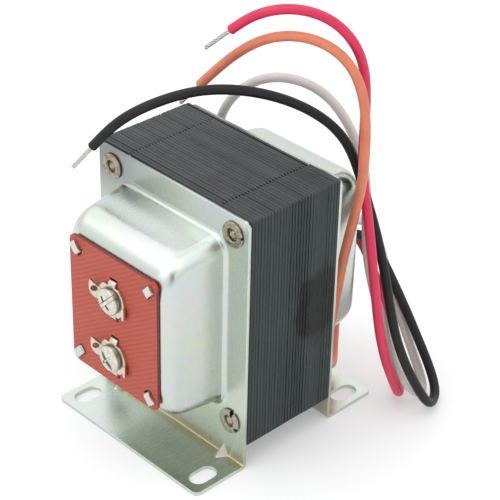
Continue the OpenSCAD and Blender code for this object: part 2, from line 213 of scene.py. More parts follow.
def zinc():
    m = Mat("zinc_plated_steel")
    x, y, z = m.xyz()[0], m.xyz()[1], m.xyz()[2]
    big = m.noise(0.05, 2, 0.5, distortion=0.8)
    hue = m.noise(0.09, 2, 0.55, distortion=1.2)
    mid = m.noise(0.35, 3, 0.55)
    fine = m.noise(5.0, 3, 0.6)
    base = m.ramp(big, (0.30, (0.545, 0.635, 0.60)), (0.45, (0.605, 0.655, 0.585)),
                  (0.56, (0.565, 0.650, 0.620)), (0.70, (0.625, 0.640, 0.625)))
    # thin interference tints of the passivated layer
    base = m.mix(m.math("MULTIPLY", m.band(hue, 0.56, 0.62, 0.06), 0.28), base, (0.66, 0.67, 0.48))
    base = m.mix(m.math("MULTIPLY", m.band(hue, 0.34, 0.40, 0.06), 0.25), base, (0.68, 0.60, 0.63))
    base = m.mix(m.math("MULTIPLY", m.math("SUBTRACT", mid, 0.5), 0.5, clamp=True),
                 base, (0.54, 0.54, 0.49))
    # yellow-brown along the bends and where the plate runs down to them
    ax = m.math("ABSOLUTE", x)
    bend = m.math("MULTIPLY", m.band(z, 0.9, 3.2, 1.6), m.band(ax, 15.2, 17.6, 1.2))
    base = m.mix(m.math("MULTIPLY", bend, 0.60), base, (0.50, 0.44, 0.27))
    low = m.math("MULTIPLY", m.band(z, 2.0, 12.0, 8.0), m.band(ax, 14.0, 16.3, 0.5))
    base = m.mix(m.math("MULTIPLY", low, m.math("MULTIPLY", mid, 0.35)), base, (0.58, 0.54, 0.38))
    streak = m.noise(0.6, 2, 0.5, vec=m.scaled(0.4, 2.2, 0.10))
    rough = m.math("ADD", 0.245, m.math("MULTIPLY", streak, 0.035))
    rough = m.math("ADD", rough, m.math("MULTIPLY", fine, 0.03))
    # the upper far corner of the plates is painted darker
    dark_far_corner = m.math("MULTIPLY", m.math("DIVIDE", m.math("ADD", y, 8.0), 30.0, clamp=True),
                  m.math("DIVIDE", m.math("SUBTRACT", z, 52.0), 16.0, clamp=True))
    dark_far_corner = m.math("MULTIPLY", dark_far_corner, m.band(ax, 14.0, 16.2, 0.6))
    base = m.mix(m.math("MULTIPLY", dark_far_corner, 0.95), base, (0.22, 0.245, 0.235))
    # the plates are painted darker just above the feet
    foot = m.math("MULTIPLY", m.band(z, 4.0, 13.0, 5.0), m.band(ax, 14.0, 16.2, 0.6))
    base = m.mix(m.math("MULTIPLY", foot, 0.42), base, (0.32, 0.335, 0.285))
    # painted highlight: the top of the front cup is coloured lighter than the rest
    cup_top_highlight = m.math("MULTIPLY", m.band(z, 63.0, 72.0, 2.0), m.band(x, -36.0, -18.5, 2.0))
    cup_top_highlight = m.math("MULTIPLY", cup_top_highlight, m.band(y, -14.0, 30.0, 5.0))
    cup_top_highlight = m.math("MULTIPLY", cup_top_highlight, m.math("DIVIDE", m.math("SUBTRACT", 14.0, y), 26.0, clamp=True))
    base = m.mix(m.math("MULTIPLY", cup_top_highlight, 0.65), base, (0.78, 0.80, 0.795))
    # the pressed corner stiffeners are rubbed dull
    gus = m.math("MULTIPLY", m.band(ax, 16.15, 19.6, 0.10), m.band(m.math("ABSOLUTE", m.math("SUBTRACT", m.math("ABSOLUTE", y), 20.0)), -1.0, 2.3, 0.3))
    gus = m.math("MULTIPLY", gus, m.band(z, 1.22, 4.9, 0.10))
    base = m.mix(m.math("MULTIPLY", gus, 0.85), base, (0.69, 0.68, 0.59))
    rough = m.math("ADD", rough, m.math("MULTIPLY", gus, 0.22))
    m.set(Base_Color=base, Metallic=1.0, Roughness=rough)
    h = m.math("ADD", m.math("MULTIPLY", fine, 0.12), m.math("MULTIPLY", mid, 1.0))
    m.bump(h, 0.05, 0.0002)
    return m.m


def core_steel(name, tint=(1.0, 1.0, 1.0), seed=0.0):
    m = Mat(name)
    x, y, z = m.xyz()[0], m.xyz()[1], m.xyz()[2]
    idx = m.math("FLOOR", m.math("DIVIDE", m.math("ADD", x, 14.925), 0.51491))
    per = m.white(m.math("ADD", idx, 3.17 + seed))
    per2 = m.white(m.math("ADD", idx, 71.3 + seed))
    blot = m.noise(0.10, 4, 0.6, distortion=0.4)
    fine = m.noise(2.4, 3, 0.65, vec=m.scaled(3.0, 1.0, 1.0))
    spot = m.noise(1.3, 2, 0.5)
    f = m.math("ADD", m.math("MULTIPLY", per, 0.35), m.math("MULTIPLY", blot, 0.80))
    base = m.ramp(f, (0.22, tuple(0.55 * t for t in tint)), (0.60, tint), (0.95, tuple(1.45 * t for t in tint)))
    # painted light: the top of the stack is coloured lighter than its sides
    top = m.band(z, 73.6, 80.0, 0.25)
    painted_top_light = m.mix(top, (0.0315, 0.0455, 0.0425), (0.056, 0.061, 0.063))
    base = m.mix(1.0, base, painted_top_light, "MULTIPLY")
    # oil stain low on one side, with a darker rim
    wob = m.math("MULTIPLY", m.math("SUBTRACT", m.noise(0.22, 2, 0.5), 0.5), 0.9)
    ring = m.math("ADD", m.dist(9.5, -27.8, 40.0, 0.135, 0.05, 0.095), wob)
    side = m.band(y, -40.0, -27.0, 0.3)
    stain = m.math("MULTIPLY", m.band(ring, -1.0, 0.72, 0.50), side)
    side = m.math("MULTIPLY", side, m.math("SUBTRACT", 1.0, m.math("DIVIDE", m.math("SUBTRACT", x, 5.0), 4.5, clamp=True)))
    rim_ = m.math("MULTIPLY", m.band(ring, 0.72, 0.95, 0.15), side)
    base = m.mix(m.math("MULTIPLY", stain, m.math("ADD", 0.38, m.math("MULTIPLY", spot, 0.5))), base, (0.0085, 0.0080, 0.0070))
    base = m.mix(m.math("MULTIPLY", rim_, 0.65), base, (0.006, 0.005, 0.004))
    rust = m.math("MULTIPLY", m.band(fine, 0.70, 1.0, 0.03), m.band(spot, 0.56, 1.0, 0.04))
    base = m.mix(m.math("MULTIPLY", rust, 0.7), base, (0.16, 0.085, 0.045))
    burr = m.math("MULTIPLY", m.band(m.noise(4.0, 2, 0.6), 0.70, 1.0, 0.02), m.band(per2, 0.55, 1.0, 0.1))
    base = m.mix(m.math("MULTIPLY", burr, 0.8), base, (0.34, 0.36, 0.36))
    rough = m.math("ADD", 0.36, m.math("MULTIPLY", blot, 0.22))
    rough = m.math("ADD", rough, m.math("MULTIPLY", stain, 0.15))
    m.set(Base_Color=base, Metallic=0.55, Roughness=rough, Coat_Weight=0.12)
    m.b.inputs["Coat Roughness"].default_value = 0.35
    m.bump(m.math("ADD", fine, m.math("MULTIPLY", per, 1.0)), 0.25, 0.0001)
    return m.m


def rivet_metal():
    m = Mat("rivet_metal")
    z = m.xyz()[2]
    n1 = m.noise(0.9, 3, 0.6)
    n2 = m.noise(6.0, 3, 0.6)
    base = m.ramp(n1, (0.32, (0.20, 0.17, 0.125)), (0.5, (0.36, 0.315, 0.24)), (0.68, (0.50, 0.455, 0.37)))
    # painted highlight: the lower rivets are coloured lighter than the upper ones
    new = m.math("SUBTRACT", 1.0, m.math("DIVIDE", z, 45.0), clamp=True)
    base = m.mix(m.math("MULTIPLY", new, 0.60), base, (0.56, 0.52, 0.43))
    base = m.mix(m.math("MULTIPLY", m.band(n2, 0.62, 1.0, 0.05), 0.5), base, (0.12, 0.10, 0.08))
    # painted shade: the splits of the rolled rims are coloured near black
    for cy, cz, ky, kz in ((-23.15, 15.75, 2.1, 0.90), (-24.95, 11.45, 1.3, 1.9), (-25.55, 68.75, 3.4, 2.9)):
        gap = m.band(m.dist(-16.2, cy, cz, 0.4, ky, kz), -1.0, 0.85, 0.35)
        base = m.mix(m.math("MULTIPLY", gap, 0.96), base, (0.012, 0.010, 0.008))
    m.set(Base_Color=base, Metallic=1.0, Roughness=m.math("ADD", 0.26, m.math("MULTIPLY", n2, 0.22)))
    m.bump(m.math("ADD", n1, m.math("MULTIPLY", n2, 0.4)), 0.22, 0.00015)
    return m.m


def fibre_board():
    m = Mat("red_fibre_board")
    y, z = m.xyz()[1], m.xyz()[2]
    # twill cloth under the resin: two sets of diagonals, one stronger than the other
    wob = m.noise(0.30, 2, 0.5)
    yy = m.math("MULTIPLY", y, 0.487)
    zz = m.math("ADD", m.math("MULTIPLY", z, 0.744), m.math("MULTIPLY", wob, 0.6))
    one = m.math("SINE", m.math("MULTIPLY", m.math("ADD", zz, yy), 2 * math.pi))
    two = m.math("SINE", m.math("MULTIPLY", m.math("SUBTRACT", zz, yy), 2 * math.pi))
    weave = m.math("ADD", m.math("MULTIPLY", one, 0.60), m.math("MULTIPLY", two, 0.34))
    jit = m.noise(2.2, 3, 0.7)
    weave = m.math("ADD", weave, m.math("MULTIPLY", m.math("SUBTRACT", jit, 0.5), 1.1))
    blot = m.noise(0.12, 3, 0.6)
    base = m.ramp(m.math("ADD", m.math("MULTIPLY", weave, 0.28), 0.5),
                  (0.0, (0.29, 0.034, 0.018)), (0.45, (0.405, 0.056, 0.030)), (1.0, (0.52, 0.090, 0.052)))
    base = m.mix(m.math("MULTIPLY", m.math("SUBTRACT", blot, 0.42), 0.6, clamp=True), base, (0.35, 0.060, 0.036))
    # painted shade on the board behind the eyes of the two solder lugs, darkening what shows through them
    for zc in (47.5, 30.4):
        lug_eye_shade = m.band(m.dist(-35.1, 6.9, zc + 0.55, 0.4, 1.0, 1.0), -1.0, 1.12, 0.35)
        base = m.mix(m.math("MULTIPLY", lug_eye_shade, 0.97), base, (0.010, 0.006, 0.004) if zc > 40 else (0.075, 0.042, 0.014))
    # darker sawn edge
    ey = m.math("DIVIDE", m.math("SUBTRACT", m.math("ABSOLUTE", y), 16.22), 0.12, clamp=True)
    ez = m.math("DIVIDE", m.math("SUBTRACT", m.math("ABSOLUTE", m.math("SUBTRACT", z, 40.65)), 18.77), 0.12, clamp=True)
    edge = m.math("MAXIMUM", ey, ez)
    base = m.mix(m.math("MULTIPLY", edge, 0.80), base, (0.11, 0.018, 0.014))
    m.set(Base_Color=base, Metallic=0.0, Roughness=m.math("ADD", 0.44, m.math("MULTIPLY", jit, 0.15)),
          IOR=1.5)
    m.bump(weave, 0.45, 0.00012)
    return m.m


def bright_metal(name, base, dirt_and_shade, rough=0.24, bump=0.12):
    m = Mat(name)
    n1 = m.noise(0.8, 3, 0.6)
    n2 = m.noise(7.0, 3, 0.6)
    col = m.ramp(n1, (0.35, tuple(c * 0.86 for c in base)), (0.6, base))
    col = m.mix(m.math("MULTIPLY", m.band(n2, 0.60, 1.0, 0.08), 0.35), col, dirt_and_shade)
    m.set(Base_Color=col, Metallic=1.0, Roughness=m.math("ADD", rough, m.math("MULTIPLY", n2, 0.12)))
    m.bump(m.math("ADD", n1, m.math("MULTIPLY", n2, 0.5)), bump, 0.00012)
    return m.m


def screw_metal():
    m = Mat("nickel_screw")
    x, y, z = m.xyz()[0], m.xyz()[1], m.xyz()[2]
    n1 = m.noise(0.8, 3, 0.6)
    n2 = m.noise(7.0, 3, 0.6)
    col = m.ramp(n1, (0.35, (0.60, 0.59, 0.51)), (0.6, (0.71, 0.705, 0.625)))
    col = m.mix(m.math("MULTIPLY", m.band(n2, 0.60, 1.0, 0.08), 0.35), col, (0.42, 0.38, 0.32))
    # painted shade along the edges of the slots and in the cross arms; the two screws stand turned differently
    up = m.math("GREATER_THAN", z, 39.0)
    zz = m.math("SUBTRACT", z, m.math("ADD", 30.4, m.math("MULTIPLY", up, 17.1)))
    yy = m.math("MULTIPLY", y, m.math("SUBTRACT", 1.0, m.math("MULTIPLY", up, 2.0)))
    along = m.math("ABSOLUTE", m.math("MULTIPLY", m.math("ADD", zz, yy), 0.7071))
    across = m.math("ABSOLUTE", m.math("MULTIPLY", m.math("SUBTRACT", zz, yy), 0.7071))
    head = m.band(x, -40.0, -35.85, 0.05)
    walls = m.math("MULTIPLY", m.band(across, 0.47, 0.60, 0.04), m.math("ADD", 0.42, m.math("MULTIPLY", up, 0.58)))
    arms = m.math("MULTIPLY", m.math("MULTIPLY", m.band(along, 0.25, 0.34, 0.06), m.band(across, 0.5, 2.0, 0.1)), 0.8)
    dirt_and_shade = m.math("MULTIPLY", m.math("MAXIMUM", walls, arms), head)
    dirt_and_shade = m.math("MULTIPLY", dirt_and_shade, m.math("ADD", 0.55, m.math("MULTIPLY", n1, 0.6)), clamp=True)
    col = m.mix(dirt_and_shade, col, (0.060, 0.050, 0.036))
    # painted shade in the undercut below the head
    under = m.band(x, -37.05, -36.0, 0.06)
    col = m.mix(m.math("MULTIPLY", under, 0.55), col, (0.20, 0.17, 0.11))
    m.set(Base_Color=col, Metallic=1.0, Roughness=m.math("ADD", 0.22, m.math("MULTIPLY", n2, 0.12)))
    m.bump(m.math("ADD", n1, m.math("MULTIPLY", n2, 0.5)), 0.12, 0.00012)
    return m.m


def plastic(name, base, dark, rough=0.38, spec=0.5, sss=0.0):
    m = Mat(name)
    n1 = m.noise(0.25, 3, 0.55)
    n2 = m.noise(3.5, 3, 0.6)
    col = m.ramp(n1, (0.3, dark), (0.7, base))
    m.set(Base_Color=col, Metallic=0.0, Roughness=m.math("ADD", rough, m.math("MULTIPLY", n2, 0.12)))
    m.b.inputs["Specular IOR Level"].default_value = spec
    if sss:
        m.b.inputs["Subsurface Weight"].default_value = sss
        m.b.inputs["Subsurface Radius"].default_value = (0.8, 0.4, 0.3)
        m.b.inputs["Subsurface Scale"].default_value = 0.0006
    m.bump(m.math("ADD", n1, m.math("MULTIPLY", n2, 0.25)), 0.12, 0.00008)
    return m.m


def wound(name, base, dark, pitch):
    m = Mat(name)
    y = m.xyz()[1]
    turn = m.math("SINE", m.math("MULTIPLY", y, 2 * math.pi / pitch))
    n = m.noise(0.8, 3, 0.6)
    col = m.ramp(m.math("ADD", m.math("MULTIPLY", turn, 0.35), n), (0.2, dark), (0.7, base))
    m.set(Base_Color=col, Metallic=0.85, Roughness=m.math("ADD", 0.28, m.math("MULTIPLY", n, 0.15)))
    m.bump(turn, 0.8, 0.0001)
    return m.m


def papery(name, base, dark, rough=0.7):
    m = Mat(name)
    n1 = m.noise(0.3, 4, 0.6)
    n2 = m.noise(6.0, 3, 0.7, vec=m.scaled(1, 0.25, 1))
    col = m.ramp(m.math("ADD", m.math("MULTIPLY", n1, 0.6), m.math("MULTIPLY", n2, 0.4)), (0.3, dark), (0.7, base))
    m.set(Base_Color=col, Roughness=m.math("ADD", rough, m.math("MULTIPLY", n2, 0.15)))
    m.bump(n2, 0.3, 0.0001)
    return m.m


ZINC = zinc()
E_STEEL = core_steel("core_steel_e", (1.0, 1.0, 1.0), 0.0)
I_STEEL = core_steel("core_steel_i", (0.90, 0.96, 0.95), 9.0)
RIVET = rivet_metal()
BOARD = fibre_board()
BRASS = bright_metal("tinned_brass", (0.70, 0.66, 0.55), (0.36, 0.32, 0.20), 0.24)
SCREW = screw_metal()
TIN = bright_metal("tinned_strands", (0.66, 0.645, 0.60), (0.30, 0.27, 0.22), 0.26, 0.2)
NYLON = plastic("black_nylon", (0.018, 0.018, 0.019), (0.010, 0.010, 0.011), 0.40)
LEAD_BLACK = plastic("black_insulation", (0.012, 0.012, 0.013), (0.008, 0.008, 0.009), 0.40, 0.3)
LEAD_RED = plastic("red_insulation", (0.66, 0.022, 0.085), (0.58, 0.016, 0.068), 0.36)
LEAD_WHITE = plastic("white_insulation", (0.60, 0.575, 0.55), (0.555, 0.53, 0.50), 0.38)
LEAD_ORANGE = plastic("orange_insulation", (0.68, 0.215, 0.115), (0.60, 0.170, 0.088), 0.38)


# ------------------------------------------------------------------ mesh helpers
def make(name, verts, faces, mat, sharp=40.0, replaces=(), weighted=False, ride=True, recalc=True):
    """Mesh piece from millimetre vertices."""
    me = bpy.data.meshes.new(name)
    me.from_pydata([(v[0] * MM, v[1] * MM, v[2] * MM) for v in verts], [], [tuple(f) for f in faces])
    bm = bmesh.new()
    bm.from_mesh(me)
    bmesh.ops.remove_doubles(bm, verts=bm.verts, dist=1e-7)
    loose = [v for v in bm.verts if not v.link_faces]
    if loose:
        bmesh.ops.delete(bm, geom=loose, context="VERTS")
    if recalc:
        bmesh.ops.recalc_face_normals(bm, faces=bm.faces)
    bm.to_mesh(me)
    bm.free()
    me.polygons.foreach_set("use_smooth", [True] * len(me.polygons))
    me.set_sharp_from_angle(angle=math.radians(sharp))
    me.materials.append(mat)
    o = bpy.data.objects.new(name, me)
    bpy.context.scene.collection.objects.link(o)
    if weighted:
        w = o.modifiers.new("flat", "WEIGHTED_NORMAL")
        w.keep_sharp = True
        w.weight = 60
    if ride:
        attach(o, "root")
        if replaces:
            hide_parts(*replaces)
    return o


def cut(o, *cutters):
    """Subtracts the cutters from the object, then removes them."""
    for c in cutters:
        b = o.modifiers.new("cut", "BOOLEAN")
        b.operation = "DIFFERENCE"
        b.solver = "EXACT"
        b.object = c
        bpy.context.view_layer.update()
        dg = bpy.context.evaluated_depsgraph_get()
        new = bpy.data.meshes.new_from_object(o.evaluated_get(dg))
        o.modifiers.remove(b)
        old = o.data
        o.data = new
        bpy.data.meshes.remove(old)
        bpy.data.objects.remove(c)


def join_parts(parts):
    """Joins (verts, faces) lists into one."""
    V, F = [], []
    for v, f in parts:
        n = len(V)
        V += list(v)
        F += [tuple(i + n for i in q) for q in f]
    return V, F


def moved(part, fn):
    return [fn(*v) for v in part[0]], part[1]


def area2(L):
    return sum(L[i][0] * L[(i + 1) % len(L)][1] - L[(i + 1) % len(L)][0] * L[i][1] for i in range(len(L)))


def ccw(L):
    return list(L) if area2(L) > 0 else list(reversed(L))


def cw(L):
    return list(L) if area2(L) < 0 else list(reversed(L))


def miters(L):
    """Offset directions at each point of a closed loop, to the right of its run."""
    out = []
    n = len(L)
    for i in range(n):
        a, b, c = L[i - 1], L[i], L[(i + 1) % n]
        d1 = Vector((b[0] - a[0], b[1] - a[1])).normalized()
        d2 = Vector((c[0] - b[0], c[1] - b[1])).normalized()
        n1 = Vector((d1.y, -d1.x))
        n2 = Vector((d2.y, -d2.x))
        k = 1 + n1.dot(n2)
        out.append((n1 + n2) / max(k, 0.3))
    return out


def within(p, L):
    c = False
    x, y = p
    j = len(L) - 1
    for i in range(len(L)):
        xi, yi = L[i]
        xj, yj = L[j]
        if (yi > y) != (yj > y) and x < (xj - xi) * (y - yi) / (yj - yi) + xi:
            c = not c
        j = i
    return c


def fill(loops, extra=(), lines=()):
    """Triangles between the first loop and the others. Returns points, triangles and each loop's indices."""
    pts, edges, spans = [], [], []
    for L in loops:
        n = len(pts)
        pts += [Vector(p) for p in L]
        edges += [(n + i, n + (i + 1) % len(L)) for i in range(len(L))]
        spans.append((n, len(L)))
    for ln in lines:
        n = len(pts)
        pts += [Vector(p) for p in ln]
        edges += [(n + i, n + i + 1) for i in range(len(ln) - 1)]
    pts += [Vector(p) for p in extra]
    V, E, F, ov, oe, of = delaunay_2d_cdt(pts, edges, [], 0, 1e-5, True)
    where = {}
    for i, src in enumerate(ov):
        for s in src:
            where[s] = i
    tris = []
    for f in F:
        c = sum((V[i] for i in f), Vector((0, 0))) / len(f)
        if within(c, loops[0]) and not any(within(c, h) for h in loops[1:]):
            tris.append(tuple(f))
    idx = [[where[n + i] for i in range(k)] for n, k in spans]
    return V, tris, idx


def rim(bevel, thick, seg):
    out = []
    for k in range(1, seg + 1):
        a = math.pi / 2 * k / seg
        out.append((bevel * (1 - math.sin(a)), -bevel * (1 - math.cos(a))))
    for k in range(seg - 1, -1, -1):
        a = math.pi / 2 * k / seg
        out.append((bevel * (1 - math.sin(a)), -thick + bevel * (1 - math.cos(a))))
    if thick - 2 * bevel < 1e-6:
        out.pop(seg)
    return out[:-1]


def sheet_solid(outer, holes=(), thick=1.0, bevel=0.1, seg=2, extra=(), lines=(), gaps=()):
    """Flat sheet with rounded rims: vertices (a, b, h), h from 0 down to -thick, and faces.
    gaps are holes left open, without a rim; their top and bottom indices come back too."""
    loops = [ccw(outer)] + [cw(h) for h in holes]
    nrm = [miters(L) for L in loops]
    ins = [[(p[0] - n.x * bevel, p[1] - n.y * bevel) for p, n in zip(L, N)] for L, N in zip(loops, nrm)]
    open_loops = [cw(g) for g in gaps]
    V2, T, idx = fill(ins + open_loops, extra, lines)
    nt = len(V2)
    V = [(p.x, p.y, 0.0) for p in V2] + [(p.x, p.y, -thick) for p in V2]
    F = list(T) + [tuple(nt + i for i in reversed(t)) for t in T]
    for L, N, I in zip(loops, nrm, idx):
        prev = I
        for o, h in rim(bevel, thick, seg):
            cur = []
            for p, n in zip(L, N):
                cur.append(len(V))
                V.append((p[0] - n.x * o, p[1] - n.y * o, h))
            F += [(prev[i], prev[(i + 1) % len(prev)], cur[(i + 1) % len(cur)], cur[i]) for i in range(len(prev))]
            prev = cur
        last = [nt + i for i in I]
        F += [(prev[i], prev[(i + 1) % len(prev)], last[(i + 1) % len(last)], last[i]) for i in range(len(prev))]
    g = [(I, [nt + i for i in I]) for I in idx[len(loops):]]
    return V, F, g


def arc(cx, cy, r, a0, a1, n):
    return [(cx + r * math.cos(math.radians(a0 + (a1 - a0) * i / n)),
             cy + r * math.sin(math.radians(a0 + (a1 - a0) * i / n))) for i in range(n + 1)]


def rrect(hw, hh, r, n=6, cx=0.0, cy=0.0):
    """Rounded rectangle, counter-clockwise."""
    return (arc(cx + hw - r, cy + hh - r, r, 0, 90, n) + arc(cx - hw + r, cy + hh - r, r, 90, 180, n)
            + arc(cx - hw + r, cy - hh + r, r, 180, 270, n) + arc(cx + hw - r, cy - hh + r, r, 270, 360, n))


def circle(cx, cy, r, n=24):
    return [(cx + r * math.cos(2 * math.pi * i / n), cy + r * math.sin(2 * math.pi * i / n)) for i in range(n)]


def loft(rings, close_ends=True):
    """Skin over rings with equal numbers of points."""
    V, F = [], []
    n = len(rings[0])
    for r in rings:
        V += [tuple(p) for p in r]
    for k in range(len(rings) - 1):
        a, b = k * n, (k + 1) * n
        F += [(a + i, a + (i + 1) % n, b + (i + 1) % n, b + i) for i in range(n)]
    if close_ends:
        F.append(tuple(range(n - 1, -1, -1)))
        F.append(tuple((len(rings) - 1) * n + i for i in range(n)))
    return V, F


def lathe(profile, n=48, wobble=None):
    """Profile (radius, height) turned round the height axis; radius 0 closes the shape. Height runs along +X."""
    V, F = [], []
    rings = []
    for r, h in profile:
        if r < 1e-9:
            rings.append([len(V)])
            V.append((h, 0.0, 0.0))
        else:
            ids = []
            for i in range(n):
                a = 2 * math.pi * i / n
                rr = r * (wobble(a, r, h) if wobble else 1.0)
                ids.append(len(V))
                V.append((h, rr * math.cos(a), rr * math.sin(a)))
            rings.append(ids)
    for a, b in zip(rings, rings[1:]):
        if len(a) == 1 and len(b) == 1:
            continue
        if len(a) == 1:
            F += [(a[0], b[(i + 1) % n], b[i]) for i in range(n)]
        elif len(b) == 1:
            F += [(a[i], a[(i + 1) % n], b[0]) for i in range(n)]
        else:
            F += [(a[i], a[(i + 1) % n], b[(i + 1) % n], b[i]) for i in range(n)]
    return V, F


def strap(path, side, width, thick, bevel=0.08, round_end=False):
    """Flat strip of sheet metal bent along a path in a plane; side is the unit vector across it."""
    side = Vector(side)
    P = [Vector(p) for p in path]
    rings = []
    n = len(P)
    for i, p in enumerate(P):
        t = (P[min(i + 1, n - 1)] - P[max(i - 1, 0)]).normalized()
        up = side.cross(t).normalized()
        for (sc, back) in ([(0.0, 0.0)] if 0 < i < n - 1 else ([(bevel, 0.0), (0.0, bevel)] if i == 0 else [(0.0, -bevel), (bevel, 0.0)])):
            q = p + t * back
            sec = rrect(width / 2 - sc, thick / 2 - sc, max(bevel - sc * 0.5, 0.02), 2)
            rings.append([q + side * a + up * b for a, b in sec])
    return loft(rings)


def bspline(P, per=10):
    """Clamped uniform cubic B-spline through the first and last control point."""
    P = [Vector(p) for p in P]
    Q = [2 * P[0] - P[1]] + P + [2 * P[-1] - P[-2]]
    out = []
    for i in range(len(P) - 1):
        a, b, c, d = Q[i], Q[i + 1], Q[i + 2], Q[i + 3]
        for k in range(per):
            f = k / per
            out.append((a * (1 - f) ** 3 + b * (3 * f ** 3 - 6 * f ** 2 + 4)
                        + c * (-3 * f ** 3 + 3 * f ** 2 + 3 * f + 1) + d * f ** 3) / 6)
    out.append(P[-1])
    return out


def frames(C, start=(0.1, 0.2, 1.0)):
    n = Vector(start)
    out = []
    for i in range(len(C)):
        t = (C[min(i + 1, len(C) - 1)] - C[max(i - 1, 0)]).normalized()
        n = (n - t * n.dot(t)).normalized()
        out.append((t, n, t.cross(n)))
    return out


def tube(C, radii, n=20):
    """Tube round the points, with one radius for each."""
    rings = []
    for p, r, (t, a, b) in zip(C, radii, frames(C)):
        rings.append([p + (a * math.cos(2 * math.pi * k / n) + b * math.sin(2 * math.pi * k / n)) * r for k in range(n)])
    return loft(rings)


# ------------------------------------------------------------------ leads
LEAD_D = 2.6
ROUTES = {
    "black": [(24.6, -11, 42), (31, -11, 42), (36, -11, 42), (41, -12, 41), (44, -16, 37),
              (45, -21, 29), (46, -26, 21), (46, -31, 14), (46, -36, 7), (44, -41, 2), (38, -44, 2),
              (34, -44, 7), (31, -40, 16), (30, -36, 25), (31, -32, 35), (32, -28, 45), (31, -25, 55),
              (31, -20, 65), (29, -17, 75), (24, -13, 82), (16, -9, 88), (7, -4, 92), (-2, 3, 93),
              (-10, 10, 90), (-17, 18, 84), (-21, 24, 75)],
    "red": [(24.6, -8, 42), (31, -8, 42), (36, -8, 42), (41, -8, 41), (44, -11, 36),
            (44, -16, 28), (44, -20, 20), (44, -24, 12), (43, -28, 4), (39, -32, 2), (34, -36, 3),
            (30, -37, 10), (27, -36, 18), (26, -34, 27), (26, -32, 37), (26, -30, 47), (28, -26, 57),
            (29, -22, 68), (30, -21, 79), (30, -21, 90), (28, -21, 101), (23, -17, 110),
            (17, -9, 113), (12, 0, 110), (9, 6, 104)],
    "white": [(24.6, -11, 45), (31, -11, 45), (36, -11, 45), (42, -11, 45), (46, -13, 41),
              (47, -16, 32), (46, -21, 24), (46, -26, 15), (46, -30, 8), (45, -35, 2), (40, -39, 2),
              (34, -39, 7), (32, -35, 14), (30, -33, 24), (28, -30, 35), (29, -25, 46), (33, -21, 56),
              (35, -18, 66), (34, -13, 76), (32, -6, 84), (27, 3, 87), (23, 12, 84), (21, 20, 75),
              (21, 23, 66)],
    "orange": [(24.6, -8, 45), (31, -8, 45), (36, -8, 45), (41, -7, 44), (44, -4, 38),
               (45, -3, 30), (43, -4, 21), (39, -7, 13), (33, -12, 7), (27, -18, 6), (20, -20, 13),
               (20, -22, 23), (22, -22, 34), (24, -22, 46), (25, -24, 58), (24, -27, 70), (24, -27, 82),
               (24, -26, 92), (23, -22, 101), (19, -14, 106), (14, -4, 105), (12, 7, 97), (9, 17, 85)],
}
TIPS = {"black": 8.5, "red": 9.0, "white": 8.0, "orange": 9.0}
LEAD_MATS = {"black": LEAD_BLACK, "red": LEAD_RED, "white": LEAD_WHITE, "orange": LEAD_ORANGE}

for colour, route in ROUTES.items():
    C = bspline(route, 10)
    # small end roundings of the insulation, and a slight swell and waver along it
    wav = random.Random(len(colour) * 7 + 1)
    ph = [wav.random() * 6.28 for _ in range(3)]
    last = C[-1]
    tdir = (C[-1] - C[-2]).normalized()
    R = LEAD_D / 2
    radii = [R * (1 + 0.012 * math.sin(i * 0.21 + ph[0]) + 0.010 * math.sin(i * 0.53 + ph[1])) for i in range(len(C))]
    radii = [min(r, R * 1.0) * 0.995 for r in radii]
    body = list(C[:-1]) + [last - tdir * 0.22, last - tdir * 0.08, last]
    rr = radii[:-1] + [radii[-1], R * 0.97, R * 0.88]
    # drop the point that the end roundings would cross
    del body[-4]
    del rr[-4]
    V, F = tube(body, rr, 20)
    lead = make(f"{colour}_lead_insulation", V, F, LEAD_MATS[colour],
                sharp=60, replaces=(f"{colour}_lead",))
    # bare end: six tinned strands twisted round a seventh, run together by the solder
    L = TIPS[colour]
    t = tdir
    a = (Vector((0.1, 0.2, 1.0)) - t * t.dot(Vector((0.1, 0.2, 1.0)))).normalized()
    b = t.cross(a)
    parts = []
    steps = 30
    core = [last - t * 0.3 + t * (L + 0.15) * k / steps for k in range(steps + 1)]
    parts.append(tube(core, [0.36] * steps + [0.24], 12))
    for s in range(6):
        ang0 = math.pi / 3 * s + ph[2]
        line = []
        for k in range(steps + 1):
            q = k / steps
            ang = ang0 + q * L / 7.5 * 2 * math.pi
            rad = 0.385 - 0.03 * math.sin(q * 9 + s)
            cut_len = L - 0.12 * (1 + math.sin(s * 2.1)) - 0.02
            line.append(last - t * 0.3 + t * (cut_len + 0.3) * q + (a * math.cos(ang) + b * math.sin(ang)) * rad)
        rad_l = [0.205] * steps + [0.15]
        parts.append(tube(line, rad_l, 10))
    V, F = join_parts(parts)
    tip = make(f"{colour}_lead_strands", V, F, TIN, sharp=50, replaces=(f"{colour}_lead_tip",))

# ------------------------------------------------------------------ end bells
CORE_X = 14.925
FACE_X = 15.925
CUP_D = 18.4
FRONT_CUP = (24.8, 7.4, 4.4, 41.0)      # half height, top edge radius, corner radius, centre height
REAR_CUP = (25.4, 5.8, 4.8, 42.5)
PLATE_H = 73.6
S_BEND = 1.5
S_FOOT = 1.5 - 0.5 * math.pi / 2
FOOT_END = 32.325
S_END = S_FOOT - (FOOT_END - (CORE_X + 1.5))
GUSSET_Y = 20.0


def soft(t):
    if t < -1.1:
        return 0.0
    return 0.5 * (t + math.sqrt(t * t + 0.03))


